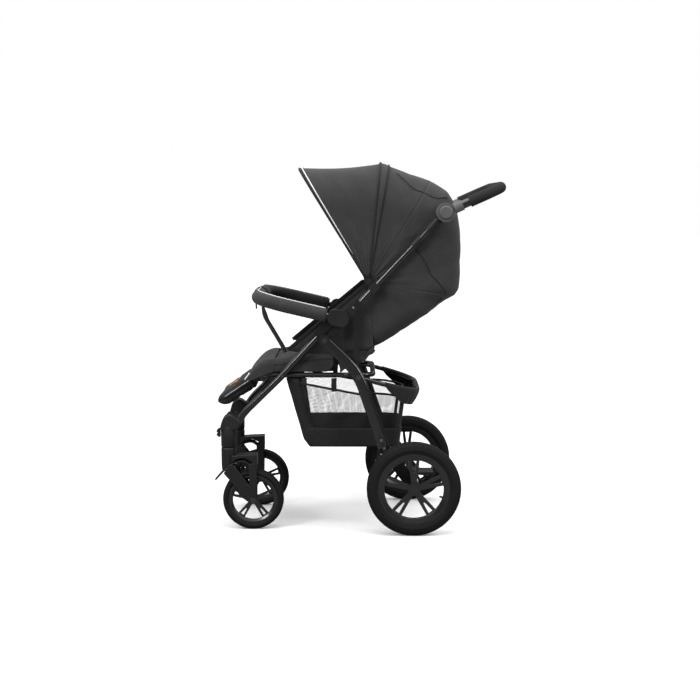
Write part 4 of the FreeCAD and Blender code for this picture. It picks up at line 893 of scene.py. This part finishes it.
route = bar_route()
count = len(route)
spread = np.linspace(0, 1, count)
ends = np.minimum(1, np.minimum(spread, 1 - spread) / 0.012)
sleeve_radius = 0.0204 * (0.86 + 0.14 * np.sqrt(ends)) + 0.0005 * np.sin(spread * 150) ** 2
sleeve = tube_piece("bumper_sleeve", route, sleeve_radius, grey_pad, "bumper_bar", SLEEVE_SIDES, bar_up)
sleeve.data.materials.append(black_pad)
for polygon in sleeve.data.polygons:
    if len(polygon.vertices) == 4:
        step = (min(polygon.vertices) % SLEEVE_SIDES) / SLEEVE_SIDES * 360
        polygon.material_index = int(step < 100 or step > 280)
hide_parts("bumper_cover")
inward, upward = frames_along(route, bar_up)
seam = np.radians(103)
cord_line = route + (inward * math.cos(seam) + upward * math.sin(seam)) * (sleeve_radius + 0.0007)[:, None]
tube_piece("bumper_piping", cord_line[1:-1], 0.0017, piping, "bumper_bar", 8, bar_up)
low = np.radians(280)
seam_line = route + (inward * math.cos(low) + upward * math.sin(low)) * (sleeve_radius + 0.0001)[:, None]
tube_piece("bumper_seam", seam_line[1:-1], 0.0009, black_pad, "bumper_bar", 6, bar_up)
print("bumper route", route.min(0).round(3), route.max(0).round(3))

# %% [markdown]
# ## Crotch strap and harness
# Webbing is flat and stiff, so straps are modelled directly as thin ribbons. The crotch strap wraps
# round the bumper bar, drops to the seat and ends in a stitched tail. The harness lies on the pads:
# two shoulder straps, two waist straps and soft shoulder sleeves, all meeting at the buckle.

# %% Straps
bar_centre = mount + bar_dir * BAR_REACH
wrap = [bar_centre + 0.0228 * (bar_up * math.cos(a) + bar_dir * math.sin(a))
        for a in np.linspace(math.radians(-150), math.radians(150), 22)]
drop = [bar_centre + np.array([0, 0.004, -0.034]), bar_centre + np.array([0, 0.014, -0.075]),
        np.array([0, -0.279, 0.612]), np.array([0, -0.252, 0.566]), np.array([0, -0.240, 0.545]),
        np.array([0, -0.231, 0.5245])]
strap_line = smooth_line(wrap[::-1] + drop, 70)
twist = math.radians(36) * np.clip((0.70 - strap_line[:, 2]) / 0.05, 0, 1) * (np.arange(70) > 45)
strap_wide = np.stack([np.cos(twist), np.sin(twist), 0 * twist], axis=1)
crotch = strap_piece("crotch_webbing", strap_line, 0.027, 0.0022, webbing, "bumper_bar", strap_wide)
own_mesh(crotch)
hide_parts("crotch_strap")
tail_line = [bar_centre + np.array([0, -0.016, -0.016]), bar_centre + np.array([0, -0.0165, -0.032]),
             bar_centre + np.array([0, -0.0155, -0.046])]
tail = strap_piece("crotch_tail", smooth_line(tail_line, 8), 0.027, 0.003, webbing, "bumper_bar")

back_face = 0.0345


def on_back(x, along, lift=0.0):
    """A point on the front of the backrest pad."""
    return recline_pin + back_up * along + back_out * (back_face + lift) + np.array([x, 0, 0])


for side, sign in SIDES:
    shoulder = smooth_line([on_back(sign * 0.052, 0.262, 0.002), on_back(sign * 0.051, 0.2, 0.010),
                            on_back(sign * 0.046, 0.13, 0.011), on_back(sign * 0.034, 0.07, 0.009),
                            (sign * 0.026, -0.052, 0.572), (sign * 0.018, -0.108, 0.5665)], 34)
    strap = strap_piece("shoulder_strap_" + side, shoulder, 0.025, 0.0018, webbing, "backrest")
    soft = shoulder[5:21] + back_out * 0.0035
    pad = tube_piece("shoulder_pad_" + side, soft, 0.026 * np.sqrt(np.clip(np.sin(
        np.linspace(0.12, math.pi - 0.12, len(soft))), 0.2, 1)), black_pad, "backrest", 18,
        back_out, flat=0.26)
    waist = smooth_line([(sign * 0.152, -0.04, 0.556), (sign * 0.12, -0.075, 0.5605),
                         (sign * 0.07, -0.118, 0.5625), (sign * 0.028, -0.142, 0.5595)], 18)
    belt = strap_piece("waist_strap_" + side, waist, 0.025, 0.0018, webbing, "seat_frame",
                       wide=(0, 1, 0.05))

# %% [markdown]
# ## Basket
# The basket is a bag of three cloths: open net on the sides, a closed black band round the bottom
# with a stiff board in it, and a solid front panel. It hangs from the seat rails in front and from
# the hoop behind. The net is one sheet with its threads cut by transparency along its own map,
# because thousands of modelled threads would look the same and cost far more.

# %% Net
net_finish, net_shader = plain_material("open_net", (0.02, 0.02, 0.021), 0.8)
net_tree = net_finish.node_tree
split = net_tree.nodes.new("ShaderNodeSeparateXYZ")
connect(net_tree, place_socket(net_tree, True), split.inputs[0])
threads = []
CELL, THREAD = 0.0032, 0.0003
for axis in ("X", "Y"):
    cell = math_node(net_tree, "PINGPONG", split.outputs[axis], CELL / 2)
    threads.append(math_node(net_tree, "LESS_THAN", cell, THREAD))
opaque = math_node(net_tree, "MAXIMUM", threads[0], threads[1])
connect(net_tree, opaque, net_shader.inputs["Alpha"])
tone = use_group(net_tree, mottle_group, place_socket(net_tree, False), Scale=30.0).outputs["Height"]
connect(net_tree, ramp(net_tree, tone, (0.014,) * 3, (0.045,) * 3), net_shader.inputs["Base Color"])

FLOOR_Z, RIM_Z = 0.2485, 0.4672
BOARD_Z, NET_LOW = 0.2535, 0.3085
rim_by_y = ([-0.222, -0.183, -0.08, 0.007, 0.05, 0.09, 0.155],
            [0.4665, 0.4540, 0.4330, 0.4165, 0.4200, 0.4170, 0.4050])


def bag_edges(share):
    """The bag's half width, front and rear at a share of the way from floor to rim."""
    return 0.168 + 0.0155 * share, -0.161 - 0.061 * share, 0.124 + 0.026 * share


def basket_point(turn, share):
    """A point of the bag: turn goes round from the front left corner, share from floor to rim."""
    half, front, rear = bag_edges(share)
    corner = 0.016
    if turn <= 1:
        point = np.array([half, front + corner + (rear - front - 3 * corner) * turn])
        bulge = math.sin(math.pi * turn) * math.sin(math.pi * min(1, share * 0.9 + 0.05))
        point[0] += 0.0065 * bulge - 0.002 * math.sin(turn * 19) * share
    elif turn <= 2:
        bend = (turn - 1) * math.pi / 2
        point = np.array([half - 2 * corner + 2 * corner * math.cos(bend),
                          rear - 2 * corner + 2 * corner * math.sin(bend)])
    else:
        across = (turn - 2) / 2
        point = np.array([(half - 2 * corner) * (1 - across * 2), rear])
        point[1] += 0.003 * math.sin(across * 21) * share
    return point


def bag_rows(turns, low_z, top_z, steps, out=0.0):
    """Rows of the bag between two heights; the top may follow the sloping rim."""
    rows = []
    for step in np.linspace(0, 1, steps):
        row = []
        for turn in turns:
            guess = basket_point(turn, 0.8)
            top = np.interp(guess[1], *rim_by_y) if top_z is None else top_z
            height = low_z + (top - low_z) * step
            share = (height - FLOOR_Z) / (RIM_Z - FLOOR_Z)
            x, y = basket_point(turn, share)
            row.append((x + math.copysign(out, x), y + (out if turn > 1.5 else 0), height))
        rows.append(row)
    return rows


side_turns = np.linspace(0, 1, 44)
bend_turns = np.linspace(1, 2, 10)[1:]
back_turns = np.linspace(2, 4, 40)[1:]
half_turns = np.r_[side_turns, bend_turns]
whole_turns = np.r_[half_turns, back_turns]


def bag_loop(rows):
    """The left side and rear of the bag, with the right side mirrored on."""
    made = []
    for row in rows:
        row = np.array(row)
        left = row[:len(half_turns)]
        right = left[::-1] * np.array([-1, 1, 1])
        made.append(np.vstack([row, right]))
    return made


def basket_piece(name, rows, material, wall, body="front_frame"):
    piece = link_piece(name, grid_mesh(name, rows), material, body)
    if wall:
        thicken(piece, wall)
    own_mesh(piece)
    return piece


net_rows = bag_loop(bag_rows(whole_turns, NET_LOW, None, 14))
net = basket_piece("basket_net", net_rows, net_finish, 0)
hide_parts("basket")
band_rows = bag_loop(bag_rows(whole_turns, BOARD_Z, NET_LOW + 0.002, 9, 0.0006))
basket_piece("basket_band", band_rows, black_cloth, 0.0018)
rim_rows = np.array(bag_loop(bag_rows(whole_turns, NET_LOW, None, 2)))[-1]
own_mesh(tube_piece("basket_rim_elastic", rim_rows, 0.0042, webbing, "front_frame", 8, flat=0.8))
for side, sign in SIDES:
    post = [(sign * (basket_point(1.5, share)[0] + 0.001), basket_point(1.5, share)[1],
             FLOOR_Z + (RIM_Z - FLOOR_Z) * share) for share in np.linspace(0.27, 0.74, 12)]
    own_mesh(strap_piece("basket_post_" + side, post, 0.011, 0.0022, webbing, "front_frame",
                          wide=(0.6 * sign, -0.8, 0)))
for number, x in enumerate((-0.085, 0.0, 0.085)):
    strip = [(x, basket_point(3, share)[1] + 0.002, FLOOR_Z + (RIM_Z - FLOOR_Z) * share)
             for share in np.linspace(0.27, 0.72, 10)]
    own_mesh(strap_piece(f"basket_rear_web_{number}", strip, 0.012, 0.0022, webbing, "front_frame"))

# %% Front panel, floor board, hang loops and rim piping
front_rows = []
for share in np.linspace(0.02, 0.985, 22):
    half, front = bag_edges(share)[:2]
    front += 0.010 * math.exp(-((share - 0.02) / 0.06) ** 2)
    side_depth = 0.014 + 0.026 * share
    height = FLOOR_Z + (RIM_Z - FLOOR_Z) * share
    xs = np.linspace(half - 0.014, -(half - 0.014), 25)
    middle = [(x, front - 0.004 * math.cos(x / half * math.pi / 2) * math.sin(share * 9) ** 2, height)
              for x in xs]
    row = [(half + 0.0012, front + side_depth, height), (half + 0.0012, front + 0.014, height),
           (half - 0.004, front + 0.004, height)] + middle
    row += [(-(half - 0.004), front + 0.004, height), (-(half + 0.0012), front + 0.014, height),
            (-(half + 0.0012), front + side_depth, height)]
    front_rows.append(row)
basket_piece("basket_front_panel", front_rows, black_cloth, 0.0018)

base_rows = []
for y in np.linspace(-0.150, 0.122, 26):
    edge = 0.1655 - 0.012 * max(0, (y - 0.095) / 0.027) ** 2
    dip = 0.0045 * math.sin(math.pi * (y + 0.15) / 0.272)
    row = [(x, y, BOARD_Z - dip * math.cos(x / 0.17 * math.pi / 2)) for x in np.linspace(-edge, edge, 24)]
    base_rows.append(row)
basket_piece("basket_floor_board", base_rows, black_cloth, 0.0035)
for side, sign in SIDES:
    for label, y in (("front", -0.166), ("middle", -0.075)):
        low = np.interp(y, *rim_by_y) - 0.006
        loop_line = [(sign * 0.1865, y, RIM_Z), (sign * 0.188, y - 0.001, (RIM_Z + low) / 2),
                     (sign * 0.1875, y, low)]
        loop = strap_piece(f"hang_loop_{label}_{side}", smooth_line(loop_line, 8), 0.016, 0.0024,
                           webbing, "front_frame", wide=(0, 1, 0))
        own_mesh(loop)

# %% [markdown]
# ## Pleated collar on the hoop
# A dark cloth collar is gathered over the hoop and closes the back of the basket. Gathered cloth
# folds into even waves, so the collar is a sheet along the hoop whose depth swells in the middle,
# with a wave that grows towards its free edge.

# %% Collar
hoop_pin = np.array([0.0, 0.010, 0.470])
hoop_tilt = math.radians(-15.4)
hoop_back = np.array([0, math.cos(hoop_tilt), math.sin(hoop_tilt)])
hoop_up = np.array([0, -math.sin(hoop_tilt), math.cos(hoop_tilt)])
HOOP_HALF, HOOP_BEND, HOOP_STRAIGHT = 0.219, 0.110, 0.068
COLLAR_RADIUS, WRAPPED = 0.0086, 0.45
hoop_run = [(HOOP_HALF - HOOP_BEND + HOOP_BEND * math.cos(a), HOOP_STRAIGHT + HOOP_BEND * math.sin(a))
            for a in np.linspace(0.02, math.pi / 2, 40)]
hoop_run += [(x, HOOP_STRAIGHT + HOOP_BEND) for x in
             np.linspace(HOOP_HALF - HOOP_BEND, HOOP_BEND - HOOP_HALF, 40)[1:-1]]
hoop_run += [(-x, along) for x, along in hoop_run[39::-1]]
collar_rows = [[] for _ in range(16)]
total = len(hoop_run)
for index, (x, along) in enumerate(hoop_run):
    share = index / (total - 1)
    centre = hoop_pin + hoop_back * along + np.array([x, 0, 0])
    outward = np.array([x * 0.9, 0.02 + max(0, along - 0.05), 0])
    outward = outward / np.linalg.norm(outward)
    depth = 0.043 * min(1, math.sin(math.pi * min(1, max(0, share))) * 2.6) ** 0.6
    wave = math.sin(index * 1.05)
    for row, step in zip(collar_rows, np.linspace(0, 1, 16)):
        if step < WRAPPED:
            angle = math.pi * (step / WRAPPED)
            point = centre + COLLAR_RADIUS * (hoop_up * math.sin(angle) - outward * math.cos(angle))
        else:
            fall = (step - WRAPPED) / (1 - WRAPPED)
            point = centre + outward * (COLLAR_RADIUS - 0.005 * fall + 0.0015 * wave * fall)
            tuck = 0.018 * fall ** 1.5 * min(1, max(0, (along - 0.10) / 0.078))
            point = point - np.array([0, tuck, depth * fall])
        row.append(point)
collar = cloth_sheet("hoop_collar", collar_rows, black_cloth, 0.0016, "rear_frame", 1.0)

# %% [markdown]
# ## Wheels
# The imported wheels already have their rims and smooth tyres. What is missing is the tread. It is
# one small block placed round the axle by Geometry Nodes, so a change of number is one input. The
# valve and the bolts are turned from a profile.


# %% Ring of copies
def ring_tree(name):
    """Copies of a shape round the X axis: inputs are the shape, the number, radius and material."""
    tree = bpy.data.node_groups.new(name, "GeometryNodeTree")
    for label, kind, value in (("Geometry", "Geometry", None), ("Number", "Int", 60),
                               ("Radius", "Float", 0.14), ("First turn", "Float", 0.0),
                               ("Across", "Float", 0.0), ("Shape", "Object", None),
                               ("Centre", "Vector", None), ("Finish", "Material", None)):
        socket = tree.interface.new_socket(label, in_out="INPUT", socket_type="NodeSocket" + kind)
        if value is not None:
            socket.default_value = value
    tree.interface.new_socket("Geometry", in_out="OUTPUT", socket_type="NodeSocketGeometry")
    add, link = tree.nodes.new, tree.links.new
    start, end = add("NodeGroupInput"), add("NodeGroupOutput")
    spots, index = add("GeometryNodePoints"), add("GeometryNodeInputIndex")
    shape = add("GeometryNodeObjectInfo")
    link(start.outputs["Number"], spots.inputs["Count"])
    link(start.outputs["Shape"], shape.inputs["Object"])
    share = math_node(tree, "DIVIDE", index.outputs[0], start.outputs["Number"])
    turn = math_node(tree, "MULTIPLY", share, 2 * math.pi)
    angles, reach = add("ShaderNodeCombineXYZ"), add("ShaderNodeCombineXYZ")
    link(math_node(tree, "ADD", turn, start.outputs["First turn"]), angles.inputs["X"])
    link(start.outputs["Across"], reach.inputs["X"])
    link(start.outputs["Radius"], reach.inputs["Z"])
    spun, placed = add("ShaderNodeVectorRotate"), add("ShaderNodeVectorMath")
    spun.rotation_type = "EULER_XYZ"
    link(reach.outputs[0], spun.inputs["Vector"])
    link(angles.outputs[0], spun.inputs["Rotation"])
    link(spun.outputs[0], placed.inputs[0])
    link(start.outputs["Centre"], placed.inputs[1])
    move, copies = add("GeometryNodeSetPosition"), add("GeometryNodeInstanceOnPoints")
    link(spots.outputs[0], move.inputs["Geometry"])
    link(placed.outputs[0], move.inputs["Position"])
    link(move.outputs[0], copies.inputs["Points"])
    link(shape.outputs["Geometry"], copies.inputs["Instance"])
    link(angles.outputs[0], copies.inputs["Rotation"])
    real, paint = add("GeometryNodeRealizeInstances"), add("GeometryNodeSetMaterial")
    link(copies.outputs[0], real.inputs[0])
    link(real.outputs[0], paint.inputs["Geometry"])
    link(start.outputs["Finish"], paint.inputs["Material"])
    link(paint.outputs[0], end.inputs[0])
    return tree


ring_of_copies = ring_tree("ring_of_copies")


def ring_mesh(name, shape, material, **values):
    """The plain mesh that ring_of_copies makes from a shape."""
    carrier = bpy.data.objects.new("ring_carrier", bpy.data.meshes.new("ring_carrier"))
    bpy.context.scene.collection.objects.link(carrier)
    maker = carrier.modifiers.new("ring", "NODES")
    maker.node_group = ring_of_copies
    sockets = {item.name: item.identifier for item in ring_of_copies.interface.items_tree
               if item.in_out == "INPUT"}
    for label, value in dict(values, Shape=shape, Finish=material).items():
        maker[sockets[label.replace("_", " ")]] = value
    graph = bpy.context.evaluated_depsgraph_get()
    graph.update()
    mesh = bpy.data.meshes.new_from_object(carrier.evaluated_get(graph))
    mesh.name = name
    bpy.data.objects.remove(carrier)
    return mesh


def bevelled_block(name, size, chamfer, twist=0.0):
    """A small block with cut corners, centred on the origin and kept out of the scene."""
    work = bmesh.new()
    bmesh.ops.create_cube(work, size=1)
    for vertex in work.verts:
        vertex.co = Vector(vertex.co[i] * size[i] for i in range(3))
        vertex.co.y += vertex.co.x * twist
    bmesh.ops.bevel(work, geom=work.edges[:], offset=chamfer, segments=1, affect="EDGES")
    mesh = bpy.data.meshes.new(name)
    work.to_mesh(mesh)
    work.free()
    return bpy.data.objects.new(name, mesh)


def join_meshes(name, meshes, material):
    """Several meshes as one."""
    work = bmesh.new()
    for mesh in meshes:
        work.from_mesh(mesh)
    joined = bpy.data.meshes.new(name)
    work.to_mesh(joined)
    work.free()
    joined.materials.append(material)
    return joined


# %% [markdown]
# ## Caster struts and forks
# Each front wheel hangs in a moulded fork under an upright strut. These are mouldings with soft
# edges, so every part is a side outline given a width and a rounded edge: the strut's hood, the two
# sloping arms, the arms' upright rib and the curved mudguard. The round parts are turned.


# %% Rounded plates
def plate(name, outline, low, high, chamfer, material, body, smooth=0, parts=4):
    """A side outline of (y, z) points, given a width in x and rounded edges."""
    points = [(0, y, z) for y, z in outline]
    if smooth:
        points = smooth_line(points, smooth, closed=True)
    work = bmesh.new()
    ring = [work.verts.new((low, point[1], point[2])) for point in points]
    face = work.faces.new(ring)
    grown = bmesh.ops.extrude_face_region(work, geom=[face])["geom"]
    for item in grown:
        if isinstance(item, bmesh.types.BMVert):
            item.co.x = high
    bmesh.ops.recalc_face_normals(work, faces=work.faces)
    mesh = bpy.data.meshes.new(name)
    work.to_mesh(mesh)
    work.free()
    piece = link_piece(name, mesh, material, body)
    edges = piece.modifiers.new("edges", "BEVEL")
    edges.width, edges.segments, edges.limit_method = chamfer, parts, "ANGLE"
    edges.angle_limit = math.radians(40)
    edges.harden_normals = True
    return piece


# %% Turned parts
def turned(name, profile, centre, axis, material, body, sides=20):
    """A small turned part: a profile of (radius, height) pairs spun about an axis."""
    axis = np.asarray(axis, float) / np.linalg.norm(axis)
    helper = np.array([0, 0, 1.0]) if abs(axis[2]) < 0.9 else np.array([0, 1.0, 0])
    first = np.cross(axis, helper)
    first /= np.linalg.norm(first)
    second = np.cross(axis, first)
    turns = np.linspace(0, 2 * math.pi, sides, endpoint=False)
    rows = [[np.asarray(centre) + axis * height + radius * (first * math.cos(t) + second * math.sin(t))
             for t in turns] for radius, height in profile]
    piece = link_piece(name, grid_mesh(name, rows, closed=True), material, body)
    work = bmesh.new()
    work.from_mesh(piece.data)
    bmesh.ops.remove_doubles(work, verts=work.verts, dist=0.00002)
    bmesh.ops.recalc_face_normals(work, faces=work.faces)
    work.to_mesh(piece.data)
    work.free()
    return piece


# %% Struts and forks
STRUT_X, STRUT_Y = 0.181, -0.3995
UPRIGHT = (0, 0, 1)
strut_outline = [(-0.4225, 0.310), (-0.4200, 0.331), (-0.4120, 0.349), (-0.4000, 0.3565),
                 (-0.3870, 0.3555), (-0.3730, 0.346), (-0.3600, 0.335), (-0.3630, 0.321),
                 (-0.3765, 0.308), (-0.3990, 0.3055)]
for side, sign in SIDES:
    turned(f"joint_disc_{side}", [(0.0, 0.0), (0.0135, 0.0), (0.0135, 0.002), (0.0120, 0.0034),
                                  (0.0095, 0.0034), (0.0090, 0.0022), (0.0060, 0.0022),
                                  (0.0055, 0.0036), (0.0, 0.0036)],
           (sign * 0.1866, -0.289, 0.4695), (sign, 0, 0), black_plastic, "seat_frame", 28)
    x = sign * STRUT_X
    fork_body = f"fork_{side}"
    plate(f"strut_cap_{side}", strut_outline, x - 0.0225, x + 0.0225, 0.009, black_plastic,
          "front_frame", 60, 6)
    foot = (x, STRUT_Y, 0)
    column = turned(f"strut_column_{side}", [
        (0.0, 0.2555), (0.0215, 0.2555), (0.0228, 0.2570), (0.0232, 0.2900), (0.0236, 0.3140),
        (0.0225, 0.3180), (0.0, 0.3180)], foot, UPRIGHT, black_plastic, "front_frame", 40)
    turned(f"fork_column_{side}", [
        (0.0, 0.1830), (0.0190, 0.1830), (0.0212, 0.1855), (0.0222, 0.2000), (0.0228, 0.2480),
        (0.0220, 0.2538), (0.0, 0.2538)], foot, UPRIGHT, black_plastic, fork_body, 40)
    for rank, near, far in (("outer", 0.0205, 0.0275), ("inner", -0.0275, -0.0205)):
        plate(f"fork_arm_{rank}_{side}", [(-0.4140, 0.1760), (-0.3960, 0.2020), (-0.3800, 0.1990),
                                          (-0.3200, 0.1180), (-0.3130, 0.1000), (-0.3180, 0.0850),
                                          (-0.3300, 0.0820), (-0.3420, 0.0920)],
              x + near, x + far, 0.0028, black_plastic, fork_body)
        plate(f"fork_rib_{rank}_{side}", [(-0.3370, 0.2060), (-0.3110, 0.2060), (-0.3130, 0.1000),
                                          (-0.3200, 0.0860), (-0.3300, 0.0860), (-0.3350, 0.1000)],
              x + near * 0.98, x + far * 0.98, 0.0024, black_plastic, fork_body)
    plate(f"fork_crown_{side}", [(-0.3900, 0.2300), (-0.3500, 0.2330), (-0.3110, 0.2345),
                                 (-0.3105, 0.1990), (-0.3220, 0.1990), (-0.3300, 0.2150),
                                 (-0.3500, 0.2240), (-0.3720, 0.2200), (-0.3900, 0.2060)],
          x - 0.0272, x + 0.0272, 0.003, black_plastic, fork_body)
    guard_line = smooth_line([(0, -0.4400, 0.1560), (0, -0.4130, 0.1860), (0, -0.3850, 0.2090),
                              (0, -0.3560, 0.2170), (0, -0.3370, 0.2080), (0, -0.3270, 0.1920)], 34)
    guard_rows = []
    for number, point in enumerate(guard_line):
        half = 0.0245 * min(1.0, 0.45 + number / 9)
        guard_rows.append([(x + half * across, point[1], point[2] - 0.0045 * abs(across) ** 3)
                           for across in np.linspace(-1, 1, 11)])
    guard = cloth_sheet(f"mudguard_{side}", guard_rows, black_plastic, 0.0026, fork_body)
    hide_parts(f"fork_{side}")
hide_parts("strut_housings")
print("strut and fork parts for", len(SIDES), "sides")

# %% Tread on every tyre
tread_sizes = {"rear": (0.1418, 66, 0.0125, (0.0125, 0.0058, 0.0030)),
               "front": (0.0928, 46, 0.0100, (0.0105, 0.0052, 0.0024))}
for place, (radius, number, across, size) in tread_sizes.items():
    middle_block = bevelled_block("tread_middle", size, 0.0007, 0.35)
    shoulder_size = (size[0] * 0.62, size[1] * 1.15, size[2] * 1.3)
    shoulder_block = bevelled_block("tread_shoulder", shoulder_size, 0.0007)
    for side, sign in SIDES:
        low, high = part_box(f"{place}_wheel_tyre_{side}")
        centre = (low + high) / 2
        rings = []
        for offset, lift, block in ((0.0, 0.0, middle_block), (across, -0.0030, shoulder_block),
                                    (-across, -0.0030, shoulder_block)):
            rings.append(ring_mesh("tread_ring", block, tyre_rubber, Number=number,
                                   Radius=radius - 0.0012 + lift, Across=offset, Centre=centre,
                                   First_turn=0.0 if offset else math.pi / number))
        tread = join_meshes(f"tread_{place}_{side}", rings, tyre_rubber)
        piece = link_piece(f"tread_{place}_{side}", tread, tyre_rubber, f"{place}_wheel_{side}")
        piece.data.materials.pop()
        piece.data.polygons.foreach_set("use_smooth", [False] * len(piece.data.polygons))

# %% Bolts, screws and valve stems
bolt_metal = moulded("black_zinc_bolt", (0.1, 0.1, 0.102), 0.3, 900.0, 0.00003, 0.9)


def button_head(radius, height):
    """A domed head with a hollow for the key."""
    return [(0.0, 0.0), (radius, 0.0), (radius, height * 0.45), (radius * 0.86, height * 0.85),
            (radius * 0.55, height), (radius * 0.42, height), (radius * 0.38, height * 0.45),
            (0.0, height * 0.45)]


leg_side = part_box("rear_leg_left")[1][0]
for side, sign in SIDES:
    out = (sign, 0, 0)
    for number, (y, z) in enumerate(((0.068, 0.283), (0.0770, 0.258))):
        turned(f"bracket_bolt_{number}_{side}", button_head(0.0052, 0.0032), (sign * leg_side, y, z), out,
               bolt_metal, "rear_frame")
    for number, y in enumerate((-0.040, -0.0015)):
        turned(f"rail_screw_{number}_{side}", button_head(0.0040, 0.0024), (sign * 0.1862, y, 0.476), out,
               bolt_metal, "seat_frame")
    turned(f"valve_stem_{side}", [(0.0, 0.0), (0.0034, 0.0), (0.0034, 0.012), (0.0028, 0.0125),
                                  (0.0028, 0.019), (0.0, 0.019)], (sign * 0.283, 0.166 + 0.095, 0.1425 - 0.028),
           (0, -math.cos(0.29), math.sin(0.29)), black_plastic, f"rear_wheel_{side}", 14)
